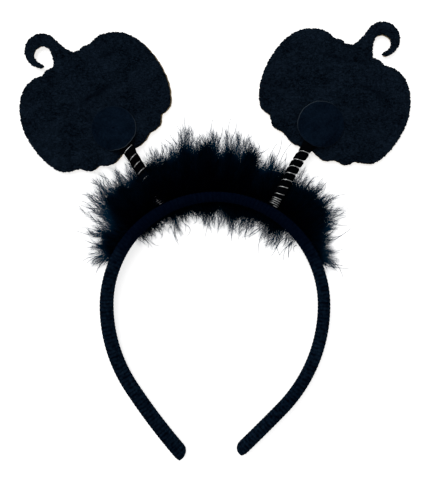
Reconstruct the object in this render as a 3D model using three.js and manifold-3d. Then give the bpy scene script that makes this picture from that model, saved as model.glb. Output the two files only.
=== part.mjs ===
// Halloween headband lying face down: a band covered in ribbed fabric, a marabou feather trim along its
// crown, and two felt pumpkins on coil springs, each held by a round patch on its back.
// Millimetres, +Z up. The floor is Z = 0, +Y runs from the band's tips to the pumpkins' stems, and the
// origin is on the floor under the middle of the whole thing.
import * as THREE from "three";
import { mergeVertices } from "three/addons/utils/BufferGeometryUtils.js";
import Module from "manifold-3d";

const wasm = await Module();
wasm.setup();

const { degToRad, lerp, smoothstep } = THREE.MathUtils;
const UP = new THREE.Vector3(0, 0, 1);

// Clearance between pieces that touch
const GAP = 0.3;

// What differs between the sides. Angles are in degrees, and x runs outwards from the middle on both sides.
// A pumpkin's own frame has x outwards and y towards its stem; spring and patch places are in that frame.
const SIDES = [
  {
    name: "left",
    sign: -1,
    cheekSweep: 37,
    tailLength: 44.3,
    springAngle: 28.5,
    springEnd: { x: -4.4, y: -24, heading: 29.5 },
    pumpkin: { x: 68.7, y: 78.8, tilt: 30 },
    patch: { x: -2.4, y: -17, radius: 12.9 },
    frontShift: { x: -0.8, y: -0.2 },
  },
  {
    name: "right",
    sign: 1,
    cheekSweep: 45,
    tailLength: 33,
    springAngle: 29.5,
    springEnd: { x: 1, y: -24, heading: 38 },
    pumpkin: { x: 68.7, y: 82.8, tilt: 25 },
    patch: { x: -1.5, y: -17.3, radius: 13.5 },
    frontShift: { x: -0.2, y: -0.5 },
  },
];

// The band's middle line is a half circle, then on each side a wider arc and a straight tail
const BAND = {
  crown: { x: 0.5, y: -36.8, radius: 61.8 },
  cheekRadius: 85,
  width: 10,
  squareness: 3,
  sides: 12,
  step: 9,
  tipRounding: 5,
  tipSize: 0.35,
  crownLift: 4.8,
};

// Places of the sections on a tip's rounding, as shares of it
const TIP_SHARES = [0, 0.12, 0.35, 0.65];

// The band's thickness, and the degrees that it leans outwards, by the share of its length from the left tip
const BAND_SECTIONS = [
  { share: 0, thickness: 6.8, lean: 14 },
  { share: 0.15, thickness: 6.6, lean: 13 },
  { share: 0.32, thickness: 6.4, lean: 8 },
  { share: 0.5, thickness: 5.5, lean: 0 },
  { share: 0.68, thickness: 6.4, lean: -2.5 },
  { share: 0.85, thickness: 6.4, lean: 4 },
  { share: 1, thickness: 6.4, lean: 6 },
];

// The coil spring, its last turns pressed flat under the patch
const COIL = {
  radius: 2.75,
  wireRadius: 0.33,
  wireSides: 5,
  stepsPerTurn: 9,
  flatHalfWidth: 3.5,
  flatHalfHeight: 1.2,
  flatLength: 7,
  flattening: 7,
  startDegrees: 90,
};

// Stretches of the coil from the band to the patch; the open turns fill what the others leave
const COIL_STRETCHES = {
  foot: { turns: 4, pitch: 0.85 },
  open: { pitch: 4.4 },
  neck: { turns: 1, pitch: 6 },
  end: { turns: 1.5, pitch: 3 },
};

const CORE = { gap: 0.25, sides: 8, step: 3.5 };

const FRONT_THICKNESS = 2;
const FELT_THICKNESS = 1.5;
const FELT_BASE = FRONT_THICKNESS + GAP;
const FELT_TOP = FELT_BASE + FELT_THICKNESS;

// The pumpkin's edge, clockwise from the stem's outer foot: each lobe passes its points and ends in a notch
const STEM_OUTER_FOOT = [10.7, 29.9];
const PUMPKIN_LOBES = [
  { name: "outer_top_bump", through: [[14.6, 30.2]], notch: [18.8, 28.7] },
  {
    name: "outer_side",
    through: [
      [24.6, 29.5],
      [32.3, 26.8],
      [39.2, 19],
      [43.5, 7],
      [43.5, -6],
      [40.7, -17.4],
      [35.8, -25],
    ],
    notch: [26.5, -28.8],
  },
  { name: "outer_bottom", through: [[21.8, -32.1]], notch: [16, -32.5] },
  { name: "middle_bottom", through: [[9.4, -34.8]], notch: [1.4, -33.3] },
  { name: "inner_bottom", through: [[-10.4, -33.3]], notch: [-18.3, -30.7] },
  { name: "far_bottom", through: [[-24.7, -29.2]], notch: [-29.5, -25] },
  {
    name: "inner_side",
    through: [
      [-36.2, -22.3],
      [-41.2, -13],
      [-43, -2],
      [-42.3, 9],
      [-39.2, 19.6],
      [-32.7, 28],
      [-22.3, 32.4],
    ],
    notch: [-13.9, 30.9],
  },
  { name: "inner_top_bump", through: [[-10.4, 31.7]], notch: [-7.2, 30.8] },
];

// The stem curls outwards between two circles that come together at its tip; angles in degrees
const STEM = {
  innerFoot: [-3.5, 31.7],
  innerFootBend: [-0.2, 34.5],
  outer: { x: 10.9, y: 41.6, radius: 9.8, from: 162, to: -55 },
  tip: [14.4, 33.1],
  inner: { x: 12.1, y: 39.4, radius: 5.5, from: -40, to: 200 },
  outerFootBend: [7.9, 33],
};
const OUTLINE_STEPS = 3;

// The patch is a disc that rises over the spring's end like a tent
const PATCH = {
  thickness: 1,
  rings: 5,
  segments: 24,
  lift: 3.5,
  ridgeHalfWidth: 5.2,
  skirtHalfWidth: 10,
  rampStart: -5,
  rampEnd: 4.5,
};

// The trim's cord lies under the band's lower edge
const TRIM_CORD = { from: -66, to: 68, offset: 1.2, radius: 1.6, sides: 6, step: 6 };

// How far the feathers reach past the band's outer and inner faces, by the angle from the middle of the crown
const TRIM_REACH = [
  { angle: -68, outer: 8, inner: 0 },
  { angle: -58, outer: 16, inner: 0 },
  { angle: -47, outer: 31, inner: 3 },
  { angle: -36, outer: 29, inner: 5 },
  { angle: -22, outer: 30, inner: 6.5 },
  { angle: -12, outer: 34, inner: 7 },
  { angle: -3, outer: 32, inner: 11 },
  { angle: 14, outer: 32, inner: 14 },
  { angle: 22, outer: 24, inner: 10.5 },
  { angle: 33, outer: 25, inner: 9.5 },
  { angle: 41, outer: 28, inner: 11 },
  { angle: 50, outer: 26, inner: 3 },
  { angle: 58, outer: 16, inner: 1 },
  { angle: 70, outer: 7, inner: 0 },
];

// Rows of locks: share is of the reach, rise and swing are in degrees, and droop is the tip's fall as a
// share of the lock's length
const LOCK_ROWS = [
  { face: 1, count: 23, share: 1, rise: 2, swing: 10, droop: 0.04, halfWidth: 4.6, halfHeight: 2.3 },
  { face: 1, count: 18, share: 0.88, rise: 20, swing: 14, droop: 0.16, halfWidth: 4.2, halfHeight: 2.4 },
  { face: 1, count: 12, share: 0.5, rise: 44, swing: 18, droop: 0.2, halfWidth: 4, halfHeight: 2 },
  { face: -1, count: 17, share: 1, rise: 0, swing: 12, droop: 0.04, halfWidth: 3.6, halfHeight: 1.6 },
];
const LOCK = {
  sides: 5,
  footSize: 0.6,
  tipSize: 0.12,
  fullAt: 0.5,
  leastReach: 2.5,
  endSplay: 26,
  lengthSwing: 0.14,
};
const ABOVE_FLOOR = { span: 400, height: 60 };

const BLACK_RIB = new THREE.MeshStandardMaterial({ color: 0x0c0d11, roughness: 0.78, metalness: 0 });
const BLACK_PLUME = new THREE.MeshStandardMaterial({ color: 0x07080c, roughness: 0.85, metalness: 0 });
const BLACK_FELT = new THREE.MeshStandardMaterial({ color: 0x0d1117, roughness: 0.95, metalness: 0 });
const BLACK_PATCH = new THREE.MeshStandardMaterial({ color: 0x0a0d16, roughness: 0.7, metalness: 0 });
const BLACK_CORE = new THREE.MeshStandardMaterial({ color: 0x050507, roughness: 0.9, metalness: 0 });
const TAN_FRONT = new THREE.MeshStandardMaterial({ color: 0xa8977a, roughness: 0.85, metalness: 0 });
const STEEL = new THREE.MeshStandardMaterial({ color: 0xc9ccd0, roughness: 0.28, metalness: 1 });

// A value from a table, between the rows on either side of a place
function fromTable(rows, placeColumn, valueColumn, place) {
  const after = rows.findIndex((row) => row[placeColumn] >= place);
  if (after === 0) return rows[0][valueColumn];
  if (after === -1) return rows[rows.length - 1][valueColumn];
  const [low, high] = [rows[after - 1], rows[after]];
  const share = (place - low[placeColumn]) / (high[placeColumn] - low[placeColumn]);
  return lerp(low[valueColumn], high[valueColumn], share);
}

// A number from -1 to 1 that looks random and is the same on every run
function vary(index, seed) {
  const wave = Math.sin(index * 12.9898 + seed * 78.233) * 43758.5453;
  return 2 * (wave - Math.floor(wave)) - 1;
}

// A closed solid through rings of points, each ring anticlockwise round the direction from first to last
function loft(rings) {
  const sides = rings[0].length;
  const triangles = [];
  for (let ring = 0; ring + 1 < rings.length; ring += 1) {
    for (let side = 0; side < sides; side += 1) {
      const a = ring * sides + side;
      const b = ring * sides + ((side + 1) % sides);
      triangles.push(a, b, b + sides, a, b + sides, a + sides);
    }
  }
  const last = (rings.length - 1) * sides;
  for (let side = 1; side + 1 < sides; side += 1) {
    triangles.push(0, side + 1, side, last, last + side, last + side + 1);
  }
  const geometry = new THREE.BufferGeometry().setFromPoints(rings.flat());
  geometry.setIndex(triangles);
  geometry.computeVertexNormals();
  return geometry;
}

// An oval ring of points round a centre, square-shouldered where power is above 2
function ovalRing(centre, across, up, halfAcross, halfUp, sides, power = 2) {
  const ring = [];
  for (let side = 0; side < sides; side += 1) {
    const angle = (2 * Math.PI * (side + 0.5)) / sides;
    const [c, s] = [Math.cos(angle), Math.sin(angle)];
    const alongAcross = halfAcross * Math.sign(c) * Math.abs(c) ** (2 / power);
    const alongUp = halfUp * Math.sign(s) * Math.abs(s) ** (2 / power);
    ring.push(centre.clone().addScaledVector(across, alongAcross).addScaledVector(up, alongUp));
  }
  return ring;
}

// Directions to the left of a heading and up from it
function headingFrame(heading) {
  const across = new THREE.Vector3().crossVectors(UP, heading).normalize();
  const up = new THREE.Vector3().crossVectors(heading, across).normalize();
  return { across, up };
}

function solidOf(geometry) {
  const bare = geometry.clone();
  bare.deleteAttribute("normal");
  bare.deleteAttribute("uv");
  const merged = mergeVertices(bare, 1e-3);
  const vertProperties = merged.attributes.position.array;
  const triVerts = new Uint32Array(merged.index.array);
  return new wasm.Manifold(new wasm.Mesh({ numProp: 3, vertProperties, triVerts }));
}

function geometryOf(solid) {
  const { vertProperties, triVerts } = solid.getMesh();
  const geometry = new THREE.BufferGeometry();
  geometry.setAttribute("position", new THREE.BufferAttribute(vertProperties, 3));
  geometry.setIndex(new THREE.BufferAttribute(triVerts, 1));
  geometry.computeVertexNormals();
  return geometry;
}

function namedMesh(name, geometry, material) {
  const mesh = new THREE.Mesh(geometry, material);
  mesh.name = name;
  return mesh;
}

// The band's middle line in plan, from the left tip over the crown to the right tip
function bandLine() {
  const { crown, cheekRadius } = BAND;
  const cheeks = SIDES.map(({ sign, cheekSweep, tailLength }) => {
    const sweep = degToRad(cheekSweep);
    const x = crown.x + sign * (crown.radius - cheekRadius);
    const spoke = new THREE.Vector2(sign * Math.cos(sweep), -Math.sin(sweep));
    const end = new THREE.Vector2(x, crown.y).addScaledVector(spoke, cheekRadius);
    const tailHeading = new THREE.Vector2(-sign * Math.sin(sweep), -Math.cos(sweep));
    const tip = end.clone().addScaledVector(tailHeading, tailLength);
    return { x, sweep, end, tip };
  });
  const [left, right] = cheeks;
  const path = new THREE.Path();
  path.moveTo(left.tip.x, left.tip.y);
  path.lineTo(left.end.x, left.end.y);
  path.absarc(left.x, crown.y, cheekRadius, Math.PI + left.sweep, Math.PI, true);
  path.absarc(crown.x, crown.y, crown.radius, Math.PI, 0, true);
  path.absarc(right.x, crown.y, cheekRadius, 0, -right.sweep, true);
  path.lineTo(right.tip.x, right.tip.y);
  return path;
}

const BAND_LINE = bandLine();
const BAND_LENGTH = BAND_LINE.getLength();
const TIP_Y = BAND_LINE.getPoint(0).y;
const CROWN_Y = BAND.crown.y + BAND.crown.radius;

// Height of the band's lower edge: the tips are on the floor and the crown on the trim's cord
function bandLift(y) {
  return BAND.crownLift * THREE.MathUtils.clamp((y - TIP_Y) / (CROWN_Y - TIP_Y), 0, 1);
}

// The size of a section near a tip, as a share of the full section
function tipShare(distance) {
  const share = Math.min(distance / BAND.tipRounding, 1);
  return lerp(BAND.tipSize, 1, Math.sqrt(1 - (1 - share) ** 2));
}

// Distances along the band at which it has a section, closer together at the tips
function bandStations() {
  const { tipRounding, step } = BAND;
  const tip = TIP_SHARES.map((share) => share * tipRounding);
  const middle = BAND_LENGTH - 2 * tipRounding;
  const count = Math.round(middle / step);
  const body = Array.from({ length: count + 1 }, (_, i) => tipRounding + (middle * i) / count);
  const end = tip.map((distance) => BAND_LENGTH - distance).reverse();
  return [...tip, ...body, ...end];
}

// Half the height of a leaning section with square shoulders
function leaningHalfHeight(halfThickness, halfWidth, lean) {
  const power = BAND.squareness / (BAND.squareness - 1);
  const shares = (halfThickness * Math.abs(Math.sin(lean))) ** power + (halfWidth * Math.cos(lean)) ** power;
  return shares ** (1 / power);
}

// The band, or with a margin the room that it needs
function bandGeometry(margin = 0) {
  const rings = bandStations().map((distance) => {
    const share = distance / BAND_LENGTH;
    const place = BAND_LINE.getPoint(share);
    const heading = BAND_LINE.getTangent(share);
    const size = tipShare(Math.min(distance, BAND_LENGTH - distance));
    const halfThickness = fromTable(BAND_SECTIONS, "share", "thickness", share) / 2;
    const lean = degToRad(fromTable(BAND_SECTIONS, "share", "lean", share));
    const height = bandLift(place.y) + leaningHalfHeight(halfThickness, BAND.width / 2, lean);
    const centre = new THREE.Vector3(place.x, place.y, height);
    const along = new THREE.Vector3(heading.x, heading.y, 0);
    const outwards = new THREE.Vector3(-heading.y, heading.x, 0).applyAxisAngle(along, -lean);
    const up = UP.clone().applyAxisAngle(along, -lean);
    const halfAcross = size * halfThickness + margin;
    const halfUp = (size * BAND.width) / 2 + margin;
    return ovalRing(centre, outwards, up, halfAcross, halfUp, BAND.sides, BAND.squareness);
  });
  return loft(rings);
}

// A place in a pumpkin's own frame, in the frame of the whole thing
function fromPumpkin({ sign, pumpkin }, { x, y }, height) {
  const tilt = degToRad(pumpkin.tilt);
  const outwards = pumpkin.x + x * Math.cos(tilt) + y * Math.sin(tilt);
  return new THREE.Vector3(sign * outwards, pumpkin.y - x * Math.sin(tilt) + y * Math.cos(tilt), height);
}

// A level direction at an angle from +Y, in degrees, outwards on its side
function levelHeading(sign, degrees) {
  return new THREE.Vector3(sign * Math.sin(degToRad(degrees)), Math.cos(degToRad(degrees)), 0);
}

// Half the band's thickness at an angle from the middle of the crown, in degrees
function bandHalfThickness(sign, angle) {
  const share = 0.5 + (sign * degToRad(angle) * BAND.crown.radius) / BAND_LENGTH;
  return fromTable(BAND_SECTIONS, "share", "thickness", share) / 2;
}

// The spring's middle line, square to the band at its foot and level on the felt at its end
function springLine({ sign, springAngle, springEnd, pumpkin }) {
  const { crown, width } = BAND;
  const outwards = levelHeading(sign, springAngle);
  const middle = new THREE.Vector3(crown.x, crown.y, 0);
  const foot = middle.addScaledVector(outwards, crown.radius + bandHalfThickness(sign, springAngle) + GAP);
  foot.z = bandLift(foot.y) + width / 2;
  const endHeight = FELT_TOP + GAP + COIL.flatHalfHeight + COIL.wireRadius;
  const end = fromPumpkin({ sign, pumpkin }, springEnd, endHeight);
  const reach = foot.distanceTo(end) / 3;
  const footBend = foot.clone().addScaledVector(outwards, reach);
  const endBend = end.clone().addScaledVector(levelHeading(sign, springEnd.heading), -reach);
  return new THREE.CubicBezierCurve3(foot, footBend, endBend, end);
}

// The coil's middle line and half sizes at a distance along the spring
function coilSection(line, length, distance) {
  const share = THREE.MathUtils.clamp(distance / length, 0, 1);
  const { across, up } = headingFrame(line.getTangentAt(share));
  const flatFrom = length - COIL.flatLength;
  const flat = smoothstep(distance, flatFrom - COIL.flattening, flatFrom);
  return {
    centre: line.getPointAt(share),
    across,
    up,
    halfWidth: lerp(COIL.radius, COIL.flatHalfWidth, flat),
    halfHeight: lerp(COIL.radius, COIL.flatHalfHeight, flat),
  };
}

// Turns and distances at which the coil's pitch changes
function coilStretches(length) {
  const { foot, open, neck, end } = COIL_STRETCHES;
  const fixed = [foot, neck, end].reduce((sum, { turns, pitch }) => sum + turns * pitch, 2 * COIL.wireRadius);
  const openTurns = (length - fixed) / open.pitch;
  const rows = [{ turn: 0, distance: COIL.wireRadius }];
  for (const { turns, pitch } of [foot, { turns: openTurns, pitch: open.pitch }, neck, end]) {
    const { turn, distance } = rows[rows.length - 1];
    rows.push({ turn: turn + turns, distance: distance + turns * pitch });
  }
  return rows;
}

function springWireGeometry(side) {
  const line = springLine(side);
  const length = line.getLength();
  const stretches = coilStretches(length);
  const turns = stretches[stretches.length - 1].turn;
  const steps = Math.round(turns * COIL.stepsPerTurn);
  const places = Array.from({ length: steps + 1 }, (_, i) => {
    const turn = (turns * i) / steps;
    const distance = fromTable(stretches, "turn", "distance", turn);
    const { centre, across, up, halfWidth, halfHeight } = coilSection(line, length, distance);
    const angle = 2 * Math.PI * turn + degToRad(COIL.startDegrees);
    const outwards = new THREE.Vector3().addScaledVector(across, halfWidth * Math.cos(angle));
    outwards.addScaledVector(up, halfHeight * Math.sin(angle));
    return { point: centre.clone().add(outwards), outwards };
  });
  const rings = places.map(({ point, outwards }, i) => {
    const before = places[Math.max(i - 1, 0)].point;
    const after = places[Math.min(i + 1, steps)].point;
    const heading = after.clone().sub(before).normalize();
    const radial = outwards.clone().addScaledVector(heading, -outwards.dot(heading)).normalize();
    const beside = new THREE.Vector3().crossVectors(heading, radial);
    return ovalRing(point, radial, beside, COIL.wireRadius, COIL.wireRadius, COIL.wireSides);
  });
  return loft(rings);
}

// A tube along the spring, its wall a distance inside the coil's middle line, or outside it if negative
function springTube(side, inset, sides) {
  const line = springLine(side);
  const length = line.getLength();
  const count = Math.round(length / CORE.step);
  const rings = Array.from({ length: count + 1 }, (_, i) => {
    const { centre, across, up, halfWidth, halfHeight } = coilSection(line, length, (length * i) / count);
    return ovalRing(centre, across, up, halfWidth - inset, halfHeight - inset, sides);
  });
  return loft(rings);
}

// The pumpkin's silhouette with its curled stem, mirrored on the left
function pumpkinShape(sign) {
  const at = ([x, y]) => new THREE.Vector2(sign * x, y);
  const arc = ({ x, y, radius, from, to }, clockwise) => {
    const angles = [from, (from + to) / 2, to].map((angle) => degToRad(sign > 0 ? angle : 180 - angle));
    for (const half of [0, 1]) {
      shape.absarc(sign * x, y, radius, angles[half], angles[half + 1], sign > 0 ? clockwise : !clockwise);
    }
  };
  const shape = new THREE.Shape();
  shape.moveTo(...at(STEM_OUTER_FOOT));
  for (const { through, notch } of PUMPKIN_LOBES) shape.splineThru([...through, notch].map(at));
  shape.lineTo(...at(STEM.innerFoot));
  const outer = STEM.outer;
  const outerStart = [
    outer.x + outer.radius * Math.cos(degToRad(outer.from)),
    outer.y + outer.radius * Math.sin(degToRad(outer.from)),
  ];
  shape.quadraticCurveTo(...at(STEM.innerFootBend), ...at(outerStart));
  arc(STEM.outer, true);
  shape.lineTo(...at(STEM.tip));
  arc(STEM.inner, false);
  shape.quadraticCurveTo(...at(STEM.outerFootBend), ...at(STEM_OUTER_FOOT));
  return shape;
}

function pumpkinLayer(sign, thickness) {
  return new THREE.ExtrudeGeometry(pumpkinShape(sign), {
    depth: thickness,
    bevelEnabled: false,
    curveSegments: OUTLINE_STEPS,
  });
}

// The patch in a frame of its own, with y along the spring and the spring's end at ridgeX
function patchGeometry(radius, ridgeX) {
  const { thickness, rings, segments, lift } = PATCH;
  const radii = Array.from({ length: rings + 1 }, (_, i) => (radius * i) / rings);
  const under = radii.map((r) => new THREE.Vector2(r, 0));
  const over = radii.map((r) => new THREE.Vector2(r, thickness)).reverse();
  const geometry = new THREE.LatheGeometry([...under, ...over], segments).rotateX(Math.PI / 2);
  const position = geometry.attributes.position;
  for (let i = 0; i < position.count; i += 1) {
    const fromRidge = Math.abs(position.getX(i) - ridgeX);
    const ridge = 1 - smoothstep(fromRidge, PATCH.ridgeHalfWidth, PATCH.skirtHalfWidth);
    const ramp = 1 - smoothstep(position.getY(i), PATCH.rampStart, PATCH.rampEnd);
    position.setZ(i, position.getZ(i) + lift * ridge * ramp);
  }
  geometry.computeVertexNormals();
  return geometry;
}

// A place on the trim's cord at an angle from the middle of the crown, in degrees
function cordPlace(angle) {
  const { offset, radius } = TRIM_CORD;
  const { crown } = BAND;
  const place = new THREE.Vector3(crown.x, crown.y, 0);
  place.addScaledVector(levelHeading(1, angle), crown.radius + offset);
  place.z = bandLift(place.y) - GAP - radius;
  return place;
}

function cordGeometry() {
  const { from, to, radius, sides, step } = TRIM_CORD;
  const count = Math.round((to - from) / step);
  const rings = Array.from({ length: count + 1 }, (_, i) => {
    const angle = lerp(from, to, i / count);
    const heading = new THREE.Vector3(Math.cos(degToRad(angle)), -Math.sin(degToRad(angle)), 0);
    const { across, up } = headingFrame(heading);
    return ovalRing(cordPlace(angle), across, up, radius, radius, sides);
  });
  return loft(rings);
}

// One pointed lock of feathers that leaves the cord, outwards or inwards, and droops to its tip
function lockGeometry(row, rowIndex, index) {
  const { from, to, offset } = TRIM_CORD;
  const share = (index + 0.5) / row.count;
  const angle = lerp(from, to, share);
  const reach = fromTable(TRIM_REACH, "angle", row.face > 0 ? "outer" : "inner", angle);
  if (reach < LOCK.leastReach) return null;
  const full = reach * row.share + bandHalfThickness(1, angle) - row.face * offset;
  const length = full * (1 - LOCK.lengthSwing * (0.5 + 0.5 * vary(index, rowIndex + 1)));
  const splay = LOCK.endSplay * (2 * share - 1) ** 3 + row.swing * vary(index, rowIndex + 5);
  const outwards = levelHeading(1, angle + row.face * splay).multiplyScalar(row.face);
  const rise = degToRad(row.rise);
  const foot = cordPlace(angle);
  const stations = [
    { at: 0, size: LOCK.footSize },
    { at: LOCK.fullAt, size: 1 },
    { at: 1, size: LOCK.tipSize },
  ];
  const { across, up } = headingFrame(outwards);
  const rings = stations.map(({ at, size }) => {
    const centre = foot.clone().addScaledVector(outwards, length * at * Math.cos(rise));
    centre.z += length * (at * Math.sin(rise) - row.droop * at * at);
    return ovalRing(centre, across, up, row.halfWidth * size, row.halfHeight * size, LOCK.sides);
  });
  return loft(rings);
}

// The cord with its locks, flat on the floor and clear of the band and the springs
function trimGeometry() {
  let trim = solidOf(cordGeometry());
  LOCK_ROWS.forEach((row, rowIndex) => {
    for (let index = 0; index < row.count; index += 1) {
      const lock = lockGeometry(row, rowIndex, index);
      if (lock) trim = trim.add(solidOf(lock));
    }
  });
  trim = trim.subtract(solidOf(bandGeometry(GAP)));
  const springRoom = COIL.wireRadius + 2 * GAP;
  for (const side of SIDES) trim = trim.subtract(solidOf(springTube(side, -springRoom, CORE.sides)));
  const { span, height } = ABOVE_FLOOR;
  const room = new THREE.BoxGeometry(span, span, height).translate(0, 0, height / 2);
  trim = trim.intersect(solidOf(room));
  const bodies = trim.decompose().sort((a, b) => b.volume() - a.volume());
  return geometryOf(bodies[0]);
}

// A pumpkin's two layers, lying front down
function pumpkinGroup({ name, sign, pumpkin, frontShift }) {
  const group = new THREE.Group();
  group.position.set(sign * pumpkin.x, pumpkin.y, 0);
  group.rotation.z = -sign * degToRad(pumpkin.tilt);
  const front = namedMesh(`${name}_pumpkin_front`, pumpkinLayer(sign, FRONT_THICKNESS), TAN_FRONT);
  front.position.set(sign * frontShift.x, frontShift.y, 0);
  const felt = namedMesh(`${name}_pumpkin_felt`, pumpkinLayer(sign, FELT_THICKNESS), BLACK_FELT);
  felt.position.z = FELT_BASE;
  group.add(front, felt);
  return group;
}

// A patch on the felt, turned so that its tent lies over the spring's end
function patchMesh(side) {
  const line = springLine(side);
  const heading = line.getTangentAt(1);
  const centre = fromPumpkin(side, side.patch, FELT_TOP + GAP);
  const toEnd = line.getPoint(1).sub(centre);
  const ridgeX = toEnd.x * heading.y - toEnd.y * heading.x;
  const patch = namedMesh(`${side.name}_patch`, patchGeometry(side.patch.radius, ridgeX), BLACK_PATCH);
  patch.position.copy(centre);
  patch.rotation.z = Math.atan2(heading.y, heading.x) - Math.PI / 2;
  return patch;
}

const headbandGroup = new THREE.Group();
headbandGroup.add(namedMesh("headband", bandGeometry(), BLACK_RIB));
headbandGroup.add(namedMesh("marabou_trim", trimGeometry(), BLACK_PLUME));
for (const side of SIDES) {
  const core = springTube(side, COIL.wireRadius + CORE.gap, CORE.sides);
  headbandGroup.add(namedMesh(`${side.name}_spring_core`, core, BLACK_CORE));
  headbandGroup.add(namedMesh(`${side.name}_spring_wire`, springWireGeometry(side), STEEL));
  headbandGroup.add(pumpkinGroup(side), patchMesh(side));
}

export default headbandGroup;
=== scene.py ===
"""Looks of a halloween headband that lies face down on a white surface.

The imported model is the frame. Each class below builds the finer pieces of one sub-assembly, which stand for
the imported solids: the ribbed band, the marabou trim, the coil springs on their cloth cores, and the felt
pumpkins with their patches. Sizes are in millimetres until a mesh is made, and meshes are in metres.
"""
import functools
import logging
import math
from collections.abc import Iterable, Sequence
from dataclasses import dataclass, field, replace
from enum import Enum

import bpy
import numpy as np
from bpy.types import ID, Material, Mesh, Node, NodeSocket, NodeTree, Object
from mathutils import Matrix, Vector
from mathutils.geometry import delaunay_2d_cdt


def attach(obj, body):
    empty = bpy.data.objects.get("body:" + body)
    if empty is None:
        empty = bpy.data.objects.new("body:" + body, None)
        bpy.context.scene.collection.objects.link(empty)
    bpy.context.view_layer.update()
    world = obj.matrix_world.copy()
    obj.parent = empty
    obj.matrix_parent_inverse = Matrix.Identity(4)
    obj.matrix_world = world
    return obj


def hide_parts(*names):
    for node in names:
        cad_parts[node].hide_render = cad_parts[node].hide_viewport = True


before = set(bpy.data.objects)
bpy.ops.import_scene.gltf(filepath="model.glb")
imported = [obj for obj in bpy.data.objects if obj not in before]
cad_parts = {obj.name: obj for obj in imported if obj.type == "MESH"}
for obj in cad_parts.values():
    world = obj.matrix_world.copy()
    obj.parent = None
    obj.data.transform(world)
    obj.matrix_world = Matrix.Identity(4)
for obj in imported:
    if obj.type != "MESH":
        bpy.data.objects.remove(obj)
LOG = logging.getLogger("headband")

MM = 0.001
BODY = "root"
# Clear space between pieces that lie against each other.
GAP = 0.3
# Height of the felt's back, which the patches and the springs' ends lie on.
FELT_TOP = 3.8
UP = np.array([0.0, 0.0, 1.0])
WHITE = (1, 1, 1, 1)

Array = np.ndarray
Colour = tuple[float, float, float, float]
Pair = tuple[float, float]
Inputs = dict[int | str, object]


class Side(Enum):
    """The side of the headband that a piece is on, as the photograph shows it."""

    LEFT = "left"
    RIGHT = "right"

    @property
    def sign(self) -> int:
        """The side's sign along X."""
        return -1 if self is Side.LEFT else 1


class Slot(Enum):
    """The record's material slots."""

    COVER = "ribbed_cover"
    PLUME = "marabou"
    CORE = "core_cloth"
    STEEL = "spring_steel"
    FELT = "felt"
    FRONT = "front_layer"
    PATCH = "patch_cloth"


@dataclass(frozen=True)
class Layout:
    """What differs between the sides. Angles are in degrees, and x runs outwards from the middle.

    The band's tail bends inwards by tail_turn over its length, and tip_lean is how much more its tip narrows
    on the inside than on the outside. A coil's open turns are coil_pitch apart, and core_fullness is how far
    the core's cloth hides the wire at the coil's sides. The spring's end, the patch and the front layer's
    shifts are in the pumpkin's own frame, with x outwards and y towards its stem. The patch's rim carries a
    painted highlight, brightest at an angle clockwise from +Y. The front layer's stem keeps back a share of
    its layer's shift, stem_hold, and has stem_shift of its own.
    """

    side: Side
    cheek_sweep: float
    tail_length: float
    tail_turn: float
    tip_lean: float
    spring_angle: float
    spring_end: Pair
    spring_end_heading: float
    coil_pitch: float
    core_fullness: float
    pumpkin_place: Pair
    pumpkin_tilt: float
    patch_place: Pair
    patch_radius: float
    patch_highlight: float
    front_shift: Pair
    stem_hold: float
    stem_shift: Pair

    def from_pumpkin(self, points: Array) -> Array:
        """Takes places in the pumpkin's own frame to the frame of the whole thing.

        Args:
            points: Places, two columns, in millimetres.

        Returns:
            The same places in plan, two columns.
        """
        tilt = math.radians(self.pumpkin_tilt)
        out = self.pumpkin_place[0] + points[:, 0] * math.cos(tilt) + points[:, 1] * math.sin(tilt)
        along = self.pumpkin_place[1] - points[:, 0] * math.sin(tilt) + points[:, 1] * math.cos(tilt)
        return np.column_stack([self.side.sign * out, along])


LAYOUTS = (
    Layout(
        side=Side.LEFT, cheek_sweep=33, tail_length=50.4, tail_turn=8, tip_lean=0.9, spring_angle=28.5,
        spring_end=(-2.8, -23.6), spring_end_heading=33, coil_pitch=4.75, core_fullness=0.8,
        pumpkin_place=(68.5, 79.3), pumpkin_tilt=30, patch_place=(-1.9, -18.2), patch_radius=12.9,
        patch_highlight=120, front_shift=(-1.25, -0.45), stem_hold=1, stem_shift=(0.7, -0.2),
    ),
    Layout(
        side=Side.RIGHT, cheek_sweep=44, tail_length=35.3, tail_turn=2, tip_lean=0.45, spring_angle=29.9,
        spring_end=(0.9, -23.6), spring_end_heading=46, coil_pitch=4.5, core_fullness=0,
        pumpkin_place=(68.9, 82.5), pumpkin_tilt=25, patch_place=(-0.5, -17.5), patch_radius=13.5,
        patch_highlight=-35, front_shift=(0.3, -0.45), stem_hold=0, stem_shift=(0.1, 0.75),
    ),
)


def heading(degrees: Array | float) -> Array:
    """Level unit directions at angles clockwise from +Y, the last axis holding x, y and z."""
    turn = np.radians(np.asarray(degrees, float))
    return np.stack([np.sin(turn), np.cos(turn), np.zeros_like(turn)], axis=-1)


def ease(value: Array, low: float, high: float) -> Array:
    """A smooth step from 0 at low to 1 at high."""
    share = np.clip((value - low) / (high - low), 0, 1)
    return share * share * (3 - 2 * share)


def ripple(place: Array, waves: Sequence[Pair], seed: int) -> Array:
    """A sum of waves with seeded starts, which looks uneven and is the same on every run.

    Args:
        place: Distances in millimetres, or rows of two for a surface.
        waves: Wavelength and height of each wave.
        seed: Start of the random draws.

    Returns:
        The sum at each place.
    """
    draws = np.random.default_rng(seed)
    total = np.zeros(len(place))
    for length, height in waves:
        phase = draws.uniform(0, math.tau)
        turn = draws.uniform(0, math.tau)
        run = place if place.ndim == 1 else place @ np.array([math.cos(turn), math.sin(turn)])
        total += height * np.sin(math.tau * run / length + phase)
    return total


def read_rows(rows: Sequence[object], key: str, name: str, at: Array | float) -> Array:
    """A field's numbers between the rows of a table, which another field, the key, places in order."""
    return np.interp(at, [getattr(row, key) for row in rows], [getattr(row, name) for row in rows])


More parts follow.
